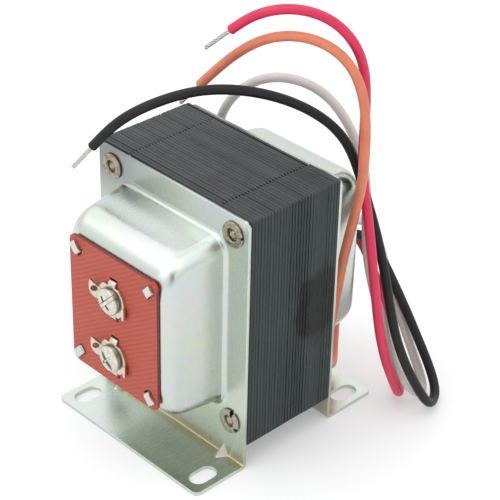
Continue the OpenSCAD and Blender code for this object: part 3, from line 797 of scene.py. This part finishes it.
def bell_map(y, s, h):
    """Flat pattern to space: y across, s up the plate and round the bend, h out of the outer surface."""
    if s >= S_BEND:
        x, z, nx, nz = FACE_X, s, 1.0, 0.0
    elif s > S_FOOT:
        a = (S_BEND - s) / 0.5
        x, z = CORE_X + 1.5 - 0.5 * math.cos(a), 1.5 - 0.5 * math.sin(a)
        nx, nz = math.cos(a), math.sin(a)
    else:
        x, z, nx, nz = CORE_X + 1.5 + (S_FOOT - s), 1.0, 0.0, 1.0
    v = abs(abs(y) - GUSSET_Y)
    if v < 4.2 and s < 9.0:
        u, w = x - (FACE_X - 0.4), z - 0.6
        t = 2.05 * (1 - math.sqrt(v * v + 0.04) / 2.4 - (u + w) / 4.1)
        if h < -0.5:
            t -= 0.3
        t = soft(t)
        x += t
        z += t
    return x + nx * h, y, z + nz * h


def cup_drop(d, depth, r):
    return 0.0 if d <= depth - r else r * (1 - math.sqrt(max(0.0, 1 - ((d - depth + r) / r) ** 2)))


def cup_ring(hy, hz, r, cz, nc=9, ny=10, nz=12):
    """Rounded rectangle round the cup's centre, always with the same number of points."""
    out = []
    def seg(a, b, n):
        return [(a[0] + (b[0] - a[0]) * i / n, a[1] + (b[1] - a[1]) * i / n) for i in range(1, n)]
    c = [(hy - r, hz - r), (-hy + r, hz - r), (-hy + r, -hz + r), (hy - r, -hz + r)]
    for k in range(4):
        A = arc(c[k][0], c[k][1], r, 90 * k, 90 * k + 90, nc)
        B = arc(c[(k + 1) % 4][0], c[(k + 1) % 4][1], r, 90 * k + 90, 90 * k + 180, nc)
        out += A + seg(A[-1], B[0], ny if k % 2 == 0 else nz)
    return [(y, z + cz) for y, z in out]


def cup_rings(cup, g, rf):
    """Rings of the cup from its base fillet out to its face; g shrinks it for the inner skin."""
    depth = CUP_D - g
    hy0, hz0 = 19.8 - g, cup[0] - g
    ey, ez, rc, cz = 3.4 - g, cup[1] - g, cup[2] - g, cup[3]
    rings = []
    x0 = FACE_X if g == 0 else CORE_X
    off = 0.0 if g == 0 else g
    N = 7
    for k in range(N):
        a = math.pi / 2 * k / N
        d, o = rf * (1 - math.cos(a)), rf * (1 - math.sin(a))
        if k == 0:
            continue
        rings.append((x0 + d, cup_ring(hy0 - 0.06 * d + o, hz0 - 0.12 * d + o, rc + o, cz)))
    ds = {2.2 if g == 0 else 3.0, 4.5, 7.5, 9.8}
    for k in range(0, 14):
        ds.add(depth - ez + ez * math.sin(math.pi / 2 * k / 13))
    for k in range(0, 9):
        ds.add(depth - ey + ey * math.sin(math.pi / 2 * k / 8))
    ds = sorted(ds)
    keep = [ds[0]]
    for d in ds[1:]:
        if d - keep[-1] > 0.03:
            keep.append(d)
    keep[-1] = depth
    for d in keep:
        hy = hy0 - 0.06 * d - cup_drop(d, depth, ey)
        hz = hz0 - 0.12 * d - cup_drop(d, depth, ez)
        x = FACE_X + d if g == 0 else FACE_X + d
        rings.append((x, cup_ring(hy, hz, rc, cz)))
    return rings


def bell_geometry(cup):
    # flat outline with points where the bend lines end
    s_lines = [6.0, 2.2] + [S_BEND - 0.5 * math.pi / 2 * k / 5 for k in range(6)] + [-0.1, -1.2]
    hw = 27.5
    r1, r2 = 1.8, 1.5
    side = sorted(set(s_lines), reverse=True)
    outline = []
    # counter-clockwise in (y, s): bottom left, bottom right, up the right side, top, down the left side
    outline += arc(-hw + r2, S_END + r2, r2, 180, 270, 6)
    outline += arc(hw - r2, S_END + r2, r2, 270, 360, 6)
    outline += [(hw, s) for s in reversed(side)]
    outline += [(hw, s) for s in (20, 40, 58)]
    outline += arc(hw - r1, PLATE_H - r1, r1, 0, 90, 7)
    outline += arc(-hw + r1, PLATE_H - r1, r1, 90, 180, 7)
    outline += [(-hw, s) for s in (58, 40, 20)]
    outline += [(-hw, s) for s in side]
    slots = []
    sc = S_FOOT - (25.925 - (CORE_X + 1.5))
    for y in (-23.0, 23.0):
        r = 4.76 / 2
        e = (7.94 - 4.76) / 2
        slots.append(arc(y, sc + e, r, 0, 180, 12) + arc(y, sc - e, r, 180, 360, 12))
    for y in (-22.225, 22.225):
        for z in (40.7 - 27.78125, 40.7 + 27.78125):
            slots.append(circle(y, z, 2.42, 32))
    b = 0.14
    base = cup_ring(19.8 + 1.4, cup[0] + 1.4, cup[2] + 1.4, cup[3])
    # support loop just outside the fillet
    w = 1.7 if cup is FRONT_CUP else 1.54
    sup = cup_ring(19.8 + w, cup[0] + w, cup[2] + w, cup[3])
    lines = [[(-hw + b, s), (hw - b, s)] for s in side]
    ring_line = sup + [sup[0]]
    extra = []
    for yc in (-GUSSET_Y, GUSSET_Y):
        for i in range(-13, 14):
            y = yc + i * 0.28
            s = -5.2
            while s < 8.2:
                ok = all(abs(s - q) > 0.12 for q in side)
                near = any(math.hypot(y - p[0], s - p[1]) < 0.45 for L in slots for p in L)
                if ok and not near and not any(within((y, s), L) for L in slots):
                    extra.append((y, s))
                s += 0.30
    # points along the bend lines under the gussets
    fine = []
    for s in side:
        if s > 8.2:
            continue
        for yc in (-GUSSET_Y, GUSSET_Y):
            fine += [(yc + i * 0.28, s) for i in range(-13, 14)]
    lines2 = []
    for s in side:
        row = sorted({round(p[0], 5) for p in fine if abs(p[1] - s) < 1e-9} | {-hw + b, hw - b})
        lines2.append([(y, s) for y in row])
    V, F, g = sheet_solid(outline, slots, 1.0, b, 3, extra=extra, lines=lines2 + [ring_line], gaps=[base])
    V = [bell_map(*v) for v in V]
    top, bot = g[0]
    n = len(base)
    base_cw = cw(base)

    def order(pts):
        return pts if cw(pts) == list(pts) else list(reversed(pts))

    def skin(start, rings, cap):
        nonlocal V, F
        prev = start
        for x, ring in rings:
            pts = order(ring)
            ids = []
            for y, z in pts:
                ids.append(len(V))
                V.append((x, y, z))
            F += [(prev[i], prev[(i + 1) % n], ids[(i + 1) % n], ids[i]) for i in range(n)]
            prev = ids
        # face: closing rings drawn in towards the centre, so that it shades evenly
        x, ring = rings[-1]
        for k in (0.985, 0.9, 0.6, 0.25):
            pts = order([(p[0] * k, cup[3] + (p[1] - cup[3]) * k) for p in ring])
            ids = []
            for y, z in pts:
                ids.append(len(V))
                V.append((x, y, z))
            F += [(prev[i], prev[(i + 1) % n], ids[(i + 1) % n], ids[i]) for i in range(n)]
            prev = ids
        F.append(tuple(prev))

    skin(top, cup_rings(cup, 0.0, 1.4), True)
    skin(bot, cup_rings(cup, 1.0, 2.4), True)
    return V, F


def box_part(x0, x1, y0, y1, z0, z1):
    V = [(x, y, z) for x in (x0, x1) for y in (y0, y1) for z in (z0, z1)]
    F = [(0, 1, 3, 2), (4, 6, 7, 5), (0, 4, 5, 1), (2, 3, 7, 6), (0, 2, 6, 4), (1, 5, 7, 3)]
    return V, F


def helper(name, part):
    return make(name, part[0], part[1], ZINC, ride=False)


RV, RF = bell_geometry(REAR_CUP)
BV, BF = bell_geometry(FRONT_CUP)
BUSH_Y, BUSH_Z = -9.5, 43.5
CUP_X = FACE_X + CUP_D
BOARD_T = 0.8
BOARD_X = CUP_X + BOARD_T
BOARD_Z = 40.65

rear = make("rear_bell_shell", RV, RF, ZINC, sharp=38, replaces=("rear_end_bell",))
hole = lathe([(0, -3), (4.8, -3), (4.8, 3), (0, 3)], 48)
cut(rear, helper("hole_cutter", moved(hole, lambda x, y, z: (CUP_X + x, BUSH_Y + y, BUSH_Z + z))))
wn = rear.modifiers.new("flat", "WEIGHTED_NORMAL")
wn.keep_sharp = True
wn.weight = 60

# board tabs: lanced from the front bell, through the board and folded over it
tabs = []
for sy in (-1, 1):
    for sz in (-1, 1):
        ang = math.radians(-sy * 42 if sz > 0 else 180 + sy * 42)
        p0 = Vector((0, sy * 12.4, BOARD_Z + sz * 14.4))
        w = Vector((0, -math.sin(ang), math.cos(ang)))
        side_v = Vector((0, math.cos(ang), math.sin(ang)))
        xo = BOARD_X + 0.45
        path = [Vector((CUP_X - 0.9, 0, 0)), Vector((CUP_X - 0.3, 0, 0))]
        r = 0.55
        path = [p0 + w * 0.45 + Vector((p.x, 0, 0)) for p in path]
        for k in range(5):
            a = math.pi / 2 * k / 4
            path.append(p0 + w * (0.45 + r * (1 - math.cos(a))) + Vector((xo - r + r * math.sin(a), 0, 0)))
        path.append(p0 + w * 2.2 + Vector((xo, 0, 0)))
        path.append(p0 + w * 3.55 + Vector((xo, 0, 0)))
        tabs.append(strap(path, side_v, 2.3, 0.86, 0.12))
TV, TF = join_parts(tabs)

front = make("front_bell_shell", [(-x, y, z) for x, y, z in BV], [tuple(reversed(f)) for f in BF], ZINC,
             sharp=38, replaces=("front_end_bell",))
cut(front, helper("window_cutter", box_part(-CUP_X - 2, -CUP_X + 3.2, -9, 9, 38.9 - 16.2, 38.9 + 16.2)))
tab_obj = make("tab_part", [(-x, y, z) for x, y, z in TV], TF, ZINC, sharp=38, ride=False)
# the tabs are lanced from the same sheet: one piece with the bell
bmj = bmesh.new()
bmj.from_mesh(front.data)
bmj.from_mesh(tab_obj.data)
bmj.to_mesh(front.data)
bmj.free()
bpy.data.objects.remove(tab_obj)
wn = front.modifiers.new("flat", "WEIGHTED_NORMAL")
wn.keep_sharp = True
wn.weight = 60

# ------------------------------------------------------------------ laminations
T = 22.225
CORE_Z = 40.7
COUNT = 58
PITCH = (29.85 - 0.5) / (COUNT - 1)


def notched(L, sizes):
    """Small bevels at outline corners, so that the butt joints show as fine notches."""
    out = []
    n = len(L)
    for i in range(n):
        a, b, c = Vector(L[i - 1]), Vector(L[i]), Vector(L[(i + 1) % n])
        if i in sizes:
            out += [tuple(b + (a - b).normalized() * sizes[i]), tuple(b + (c - b).normalized() * sizes[i])]
        else:
            out.append(tuple(b))
    return out


E_OUT = [(-1.25 * T, -1.5 * T), (0.75 * T, -1.5 * T), (0.75 * T, -T), (-0.75 * T, -T), (-0.75 * T, -0.5 * T),
         (0.75 * T, -0.5 * T), (0.75 * T, 0.5 * T), (-0.75 * T, 0.5 * T), (-0.75 * T, T), (0.75 * T, T),
         (0.75 * T, 1.5 * T), (-1.25 * T, 1.5 * T)]
E_OUT = notched(E_OUT, {0: 0.14, 1: 0.42, 10: 0.42, 11: 0.14})
I_OUT = [(0.75 * T + 0.05, -1.5 * T), (1.25 * T, -1.5 * T), (1.25 * T, 1.5 * T), (0.75 * T + 0.05, 1.5 * T)]
I_OUT = notched(I_OUT, {0: 0.42, 1: 0.14, 2: 0.14, 3: 0.42})
E_HOLES = [circle(-T, s * 1.25 * T, 2.5, 12) for s in (-1, 1)]
I_HOLES = [circle(T, s * 1.25 * T, 2.5, 12) for s in (-1, 1)]
e_sheet = sheet_solid(E_OUT, E_HOLES, 0.5, 0.06, 1)
i_sheet = sheet_solid(I_OUT, I_HOLES, 0.5, 0.06, 1)
e_parts, i_parts = [], []
# every second sheet sits a little lower, as stacked in turn; a few sit deeper at one end, as (drop, half)
LOW = {38: ("i", 0.25, 0), 54: ("e", 0.16, 1), 55: ("e", 0.22, 1), 57: ("e", 0.20, 1), 13: ("i", 0.14, 0), 3: ("e", 0.12, 0)}
for k in range(COUNT):
    x0 = -CORE_X + k * PITCH
    sgn = -1 if k % 2 else 1
    for kind, sheet, parts in (("e", e_sheet, e_parts), ("i", i_sheet, i_parts)):
        jy, jz, tz = rnd.uniform(-0.02, 0.02), rnd.uniform(-0.025, 0.025), rnd.uniform(-0.02, 0.02)
        drop = 0.09 if k % 2 else 0.0
        inset = 0.0
        if kind == "i":
            inset = 0.03 if 40 <= k <= 48 else 0.22 if 24 <= k <= 38 else 0.12
        low = LOW.get(k, ("", 0.0, 0))
        def place(a, b, h):
            y, z = sgn * a, b
            if abs(y) > 1.25 * T - 0.7:
                y -= math.copysign(inset + jy, y)
            if b > 1.5 * T - 0.7:
                z -= drop + jz + tz * y / 28
                if low[0] == kind and (not low[2] or y > -16.7):
                    z -= low[1]
            elif b < -1.5 * T + 0.7:
                z += 0.09 - drop + jz
            return x0 + 0.5 + h, max(-27.80, min(27.80, y)), CORE_Z + max(-33.36, min(33.36, z))
        parts.append(moved((sheet[0], sheet[1]), place))
EV, EF = join_parts(e_parts)
IV, IF = join_parts(i_parts)
make("e_sheets", EV, EF, E_STEEL, sharp=30, replaces=("e_laminations",))
make("i_sheets", IV, IF, I_STEEL, sharp=30, replaces=("i_laminations",))

# ------------------------------------------------------------------ rivets
RV = []
# splits in the rolled flanges: (x side, y side, z side): (angle in degrees, depth, half width in radians)
SPLITS = {(-1, -1, -1): ((111, 0.36, 0.10), (208, 0.16, 0.09)), (-1, -1, 1): ((176, 0.07, 0.10),),
          (-1, 1, -1): ((60, 0.08, 0.09), (250, 0.06, 0.10)), (1, -1, -1): ((150, 0.20, 0.11),),
          (1, 1, 1): ((20, 0.08, 0.10), (200, 0.07, 0.08))}
for sy in (-1, 1):
    for sz in (-1, 1):
        for sx in (-1, 1):
            prof = [(0, 0.60), (0.40, 0.57), (0.75, 0.46), (1.00, 0.27), (1.14, 0.02), (1.24, -0.26), (1.36, -0.36),
                    (1.50, -0.26), (1.58, -0.02), (1.65, 0.32), (1.72, 0.55), (1.84, 0.70), (2.00, 0.77),
                    (2.20, 0.75), (2.42, 0.68), (2.70, 0.655), (2.95, 0.65)]
            for q in range(1, 8):
                a = math.pi * (0.5 - q / 7.0)
                prof.append((3.18 + 0.32 * math.cos(a), 0.32 + 0.32 * math.sin(a)))
            prof += [(2.9, 0.0), (2.38, -0.02), (2.38, -CORE_X), (0, -CORE_X)]
            seed = sy * 3 + sz * 7 + sx
            splits = SPLITS.get((sx, sy, sz), ())
            def wob(a, r, h):
                if h < 0.02 or r < 1.6:
                    return 1.0
                k = 0.994 + 0.008 * math.sin(3 * a + seed) * min(1.0, r / 3) - 0.005 * math.sin(5 * a + 2 * seed)
                for deg, depth, half in splits:
                    d = (a - math.radians(deg) + math.pi) % (2 * math.pi) - math.pi
                    k -= depth * math.exp(-(d / half) ** 4) * max(0.0, min(1.0, (r - 1.9) / 1.3))
                return min(k, 1.0)
            V, F = lathe(prof, 120, wob)
            V = [(sx * (FACE_X + x), sy * T + y, CORE_Z + sz * 27.78 + z) for x, y, z in V]
            RV.append((V, F))
V, F = join_parts(RV)
make("rivet_set", V, F, RIVET, sharp=35, replaces=("core_rivets",))

# ------------------------------------------------------------------ terminal board
holes = []
for sy in (-1, 1):
    for sz in (-1, 1):
        ang = math.radians(-sy * 42 if sz > 0 else 180 + sy * 42)
        w = Vector((-math.sin(ang), math.cos(ang)))
        sd = Vector((math.cos(ang), math.sin(ang)))
        p0 = Vector((sy * 12.4, BOARD_Z + sz * 14.4))
        q = [p0 + sd * a + w * b for a, b in ((-1.32, -0.35), (1.32, -0.35), (1.32, 1.15), (-1.32, 1.15))]
        holes.append([tuple(v) for v in q])
for zc in (47.5, 30.4):
    holes.append(circle(0, zc, 2.5, 24))
    for s in (-1, 1):
        holes.append(rrect(1.45, 0.75, 0.12, 2, -0.4, zc + s * 5.35))
bo = sheet_solid(rrect(16.4, 18.95, 2.2, 7, 0, BOARD_Z), holes, BOARD_T, 0.13, 2)
V = [(-(BOARD_X + h), a, b) for a, b, h in bo[0]]
make("terminal_board_sheet", V, bo[1], BOARD, sharp=35, replaces=("terminal_board",), weighted=True)


# ------------------------------------------------------------------ terminals
def rounded(L, keep=(), times=2):
    """Corner cutting; the points in keep stay sharp."""
    for _ in range(times):
        out, kept = [], set()
        n = len(L)
        for i in range(n):
            p, q = Vector(L[i]), Vector(L[(i + 1) % n])
            if i in keep:
                kept.add(len(out))
                out.append(tuple(p))
            else:
                o = Vector(L[i - 1])
                out += [tuple(p + (o - p) * 0.25), tuple(p + (q - p) * 0.25)]
        L, keep = out, kept
    return L


def terminal(zc, tilt):
    parts = []
    # plate: a disc cut off at its top, bottom and lug side
    a1 = math.degrees(math.asin(4.1 / 4.9))
    ang0 = math.degrees(math.acos(4.3 / 4.9))
    out = []
    out += arc(0, 0, 4.9, 180 - a1, 180 + a1, 20)
    out += arc(0, 0, 4.9, -a1, -ang0, 5)
    out += arc(0, 0, 4.9, ang0, a1, 5)
    pl = sheet_solid(out, [circle(0, 0, 1.8, 28)], 0.8, 0.14, 3)
    parts.append(([(BOARD_X + 0.8 + h, a, zc + b) for a, b, h in pl[0]], pl[1]))
    # extruded collar through the board
    collar = lathe([(1.8, -1.6), (2.4, -1.6), (2.4, 0.1), (1.8, 0.1), (1.8, -1.6)], 28)
    parts.append(([(BOARD_X + x, y, zc + z) for x, y, z in collar[0]], collar[1]))
    # ears folded back through the board
    for s in (-1, 1):
        path = [(BOARD_X + 0.4, -0.4, zc + s * 3.5)]
        for k in range(6):
            a = math.pi / 2 * k / 5
            path.append((BOARD_X + 0.4 - 0.6 * (1 - math.cos(a)), -0.4, zc + s * (4.55 + 0.6 * math.sin(a))))
        path.append((BOARD_X - 1.6, -0.4, zc + s * 5.15))
        if s > 0:
            for k in range(1, 4):
                a = math.pi / 2 * k / 3
                path.append((BOARD_X - 2.3 - 0.45 * math.sin(a), -0.4, zc + 5.15))
            path[-1] = (BOARD_X - 3.2, -0.4, zc + 5.15)
        parts.append(strap(path, (0, 1, 0), 2.5, 0.78, 0.12))
    # prong turned out on the side away from the lug
    path = [(BOARD_X + 0.4, -3.9, zc - 1.7), (BOARD_X + 0.4, -4.4, zc - 1.7)]
    for k in range(1, 5):
        a = math.pi / 2 * k / 4
        path.append((BOARD_X + 0.4 + 0.5 * (1 - math.cos(a)), -4.6 - 0.5 * math.sin(a), zc - 1.7))
    path.append((BOARD_X + 1.45, -5.1, zc - 1.7))
    parts.append(strap(path, (0, 0, 1), 3.2, 0.76, 0.14))
    # solder lug, tilted out of the board, with its eye
    lug = [(-0.9, 1.9), (-0.9, -1.6), (0.1, -1.6), (1.0, -1.5), (1.8, -1.0), (2.6, 0.0), (2.95, 1.3), (2.95, 2.6),
           (2.75, 4.0), (2.35, 3.7), (1.3, 2.7), (0.6, 2.1), (0.1, 1.9)]
    lg = sheet_solid(rounded(lug, {0, 1}, 2), [circle(1.55, 1.38, 0.88, 20)], 0.78, 0.12, 3)
    ca, sa = math.cos(math.radians(tilt)), math.sin(math.radians(tilt))
    def place(a, b, h):
        # near its root the lug bends out of the plate
        u = h + 0.79
        g = max(0.0, min(1.0, (a + 0.3) / 0.7))
        c, q = 1 + (ca - 1) * g, sa * g
        w = max(0.0, a + 0.05)
        return BOARD_X + 0.4 + sa * w * g + c * (u - 0.4), 4.12 + (a if w == 0 else ca * w - 0.05) - q * (u - 0.4), zc + b
    parts.append(([place(*v) for v in lg[0]], lg[1]))
    V, F = join_parts(parts)
    return [(-x, y, z) for x, y, z in V], F


def screw(zc, turn):
    prof = [(0, 2.0)]
    for q in range(1, 13):
        r = 3.2 * q / 12
        prof.append((r, -6.2 + math.sqrt(8.2 ** 2 - r * r)))
    # rolled edge of the head, undercut towards its seat
    h1 = prof[-1][1]
    prof += [(3.42, h1 - 0.12), (3.58, h1 - 0.25), (3.67, h1 - 0.40), (3.70, 0.84), (3.66, 0.70), (3.54, 0.62),
             (3.34, 0.58), (3.10, 0.50), (3.0, 0.36), (3.0, 0.0), (1.75, 0.0), (1.75, -6.0), (0, -6.0)]
    V, F = lathe(prof, 64)
    x0 = BOARD_X + 0.8
    o = make("tmp_screw", [(-(x0 + x), y, zc + z) for x, y, z in V], F, SCREW, ride=False)
    ca, sa = math.cos(math.radians(turn)), math.sin(math.radians(turn))
    cutters = []
    for (hy, hz, depth) in ((5.0, 0.55, 0.55), (0.30, 2.0, 0.50)):
        bx = box_part(x0 + 2.0 - depth, x0 + 3.2, -hy, hy, -hz, hz)
        bv = [(-x, y * ca - z * sa, zc + y * sa + z * ca) for x, y, z in bx[0]]
        cutters.append(helper("slot_cutter", (bv, bx[1])))
    cut(o, *cutters)
    return o


for name, zc, turn, tilt in (("upper", 47.5, 135.0, 34.0), ("lower", 30.4, 45.0, 38.0)):
    V, F = terminal(zc, tilt)
    make(f"{name}_terminal_stamping", V, F, BRASS, sharp=35, replaces=(f"{name}_terminal",))
    o = screw(zc, turn)
    o.name = f"{name}_screw"
    o.data.name = o.name
    o.data.polygons.foreach_set("use_smooth", [True] * len(o.data.polygons))
    o.data.set_sharp_from_angle(angle=math.radians(32))
    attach(o, "root")
    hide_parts(f"{name}_terminal_screw")

# ------------------------------------------------------------------ lead bushing
prof = [(3.7, -2.6), (5.2, -2.6), (5.2, -1.0), (4.8, -1.0), (4.8, 0.0), (5.75, 0.0), (5.93, 0.18), (5.93, 0.5)]
for k in range(0, 7):
    a = math.pi / 2 * k / 6
    prof.append((5.33 + 0.6 * math.cos(a), 0.9 + 0.6 * math.sin(a)))
prof += [(4.6, 1.5), (4.2, 1.5)]
for k in range(1, 6):
    a = math.pi / 2 * k / 5
    prof.append((4.2 - 0.5 * math.sin(a), 1.0 + 0.5 * math.cos(a)))
prof += [(3.7, -2.6)]
V, F = lathe(prof, 64)
make("bushing_ring", [(CUP_X + x, BUSH_Y + y, BUSH_Z + z) for x, y, z in V], F, NYLON, sharp=35,
     replaces=("lead_bushing",))

# ------------------------------------------------------------------ carried-over CAD nodes
INNER = {
    "coil_form": papery("coil_form_nylon", (0.80, 0.77, 0.66), (0.72, 0.68, 0.56), 0.5),
    "primary_winding": wound("copper_wire_fine", (0.72, 0.34, 0.16), (0.30, 0.12, 0.05), 0.35),
    "winding_insulation": papery("insulation_paper", (0.78, 0.68, 0.44), (0.66, 0.55, 0.33)),
    "secondary_winding": wound("copper_wire_thick", (0.76, 0.38, 0.18), (0.32, 0.13, 0.05), 0.95),
    "outer_wrap": papery("outer_wrap_paper", (0.16, 0.15, 0.13), (0.10, 0.09, 0.08)),
    "upper_terminal_wire": papery("wire_sleeve_upper", (0.80, 0.74, 0.55), (0.68, 0.62, 0.44)),
    "lower_terminal_wire": papery("wire_sleeve_lower", (0.80, 0.74, 0.55), (0.68, 0.62, 0.44)),
}
for node, mt in INNER.items():
    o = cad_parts[node]
    for sl in o.material_slots:
        sl.material = mt

# ------------------------------------------------------------------ stage and light
fm = bpy.data.meshes.new("floor")
S = 3.0
fm.from_pydata([(-S, -S, -0.00002), (S, -S, -0.00002), (S, S, -0.00002), (-S, S, -0.00002)], [], [(0, 1, 2, 3)])
floor = bpy.data.objects.new("floor", fm)
bpy.context.scene.collection.objects.link(floor)
fmat = bpy.data.materials.new("floor_white")
fmat.use_nodes = True
fb = fmat.node_tree.nodes["Principled BSDF"]
fb.inputs["Base Color"].default_value = (0.66, 0.66, 0.66, 1)
fb.inputs["Roughness"].default_value = 0.9
fb.inputs["Specular IOR Level"].default_value = 0.1
fb.inputs["Emission Color"].default_value = (1, 1, 1, 1)
fb.inputs["Emission Strength"].default_value = 0.27
fm.materials.append(fmat)
floor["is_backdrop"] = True

world = bpy.data.worlds.new("studio")
world.use_nodes = True
bpy.context.scene.world = world
wt = world.node_tree
bg = wt.nodes["Background"]
tc = wt.nodes.new("ShaderNodeTexCoord")
sep = wt.nodes.new("ShaderNodeSeparateXYZ")
wt.links.new(tc.outputs["Generated"], sep.inputs[0])
rp = wt.nodes.new("ShaderNodeValToRGB")
e = rp.color_ramp.elements
e[0].position = 0.0
e[0].color = (1.00, 1.00, 1.00, 1)
e[1].position = 1.0
e[1].color = (1.05, 1.06, 1.08, 1)
for pos, v in ((0.30, 1.00), (0.50, 1.26), (0.75, 1.38)):
    e2 = e.new(pos)
    e2.color = (v, v * 1.005, v * 1.015, 1)
wt.links.new(sep.outputs["Z"], rp.inputs[0])
# a dark flag stands beside the lens
dt = wt.nodes.new("ShaderNodeVectorMath")
dt.operation = "DOT_PRODUCT"
dt.inputs[1].default_value = (-0.594, -0.603, 0.532)
wt.links.new(tc.outputs["Generated"], dt.inputs[0])
fl = wt.nodes.new("ShaderNodeMapRange")
fl.inputs["From Min"].default_value = 0.90
fl.inputs["From Max"].default_value = 0.975
fl.inputs["To Min"].default_value = 1.0
fl.inputs["To Max"].default_value = 0.30
wt.links.new(dt.outputs["Value"], fl.inputs["Value"])
mx = wt.nodes.new("ShaderNodeVectorMath")
mx.operation = "SCALE"
wt.links.new(rp.outputs["Color"], mx.inputs[0])
wt.links.new(fl.outputs["Result"], mx.inputs["Scale"])
wt.links.new(mx.outputs["Vector"], bg.inputs["Color"])
bg.inputs["Strength"].default_value = 1.0


def softbox(name, loc, aim, size, power, colour=(1, 1, 1)):
    d = bpy.data.lights.new(name, "AREA")
    d.shape = "RECTANGLE"
    d.size, d.size_y = size
    d.energy = power
    d.color = colour
    o = bpy.data.objects.new(name, d)
    o.location = loc
    o.rotation_euler = (Vector(aim) - Vector(loc)).to_track_quat("-Z", "Y").to_euler()
    bpy.context.scene.collection.objects.link(o)
    return o


softbox("key", (-0.15, -0.25, 0.95), (0, 0, 0.04), (0.9, 0.9), 0.9)
softbox("side", (-0.9, 0.2, 0.55), (0, 0, 0.04), (0.6, 0.7), 0.6)
softbox("top", (-0.55, 0.35, 1.05), (0, 0, 0.05), (0.7, 0.9), 2.2)

bpy.context.scene.view_settings.view_transform = "Standard"

{"cad": CAD_BOX, "visual": plain(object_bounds())}
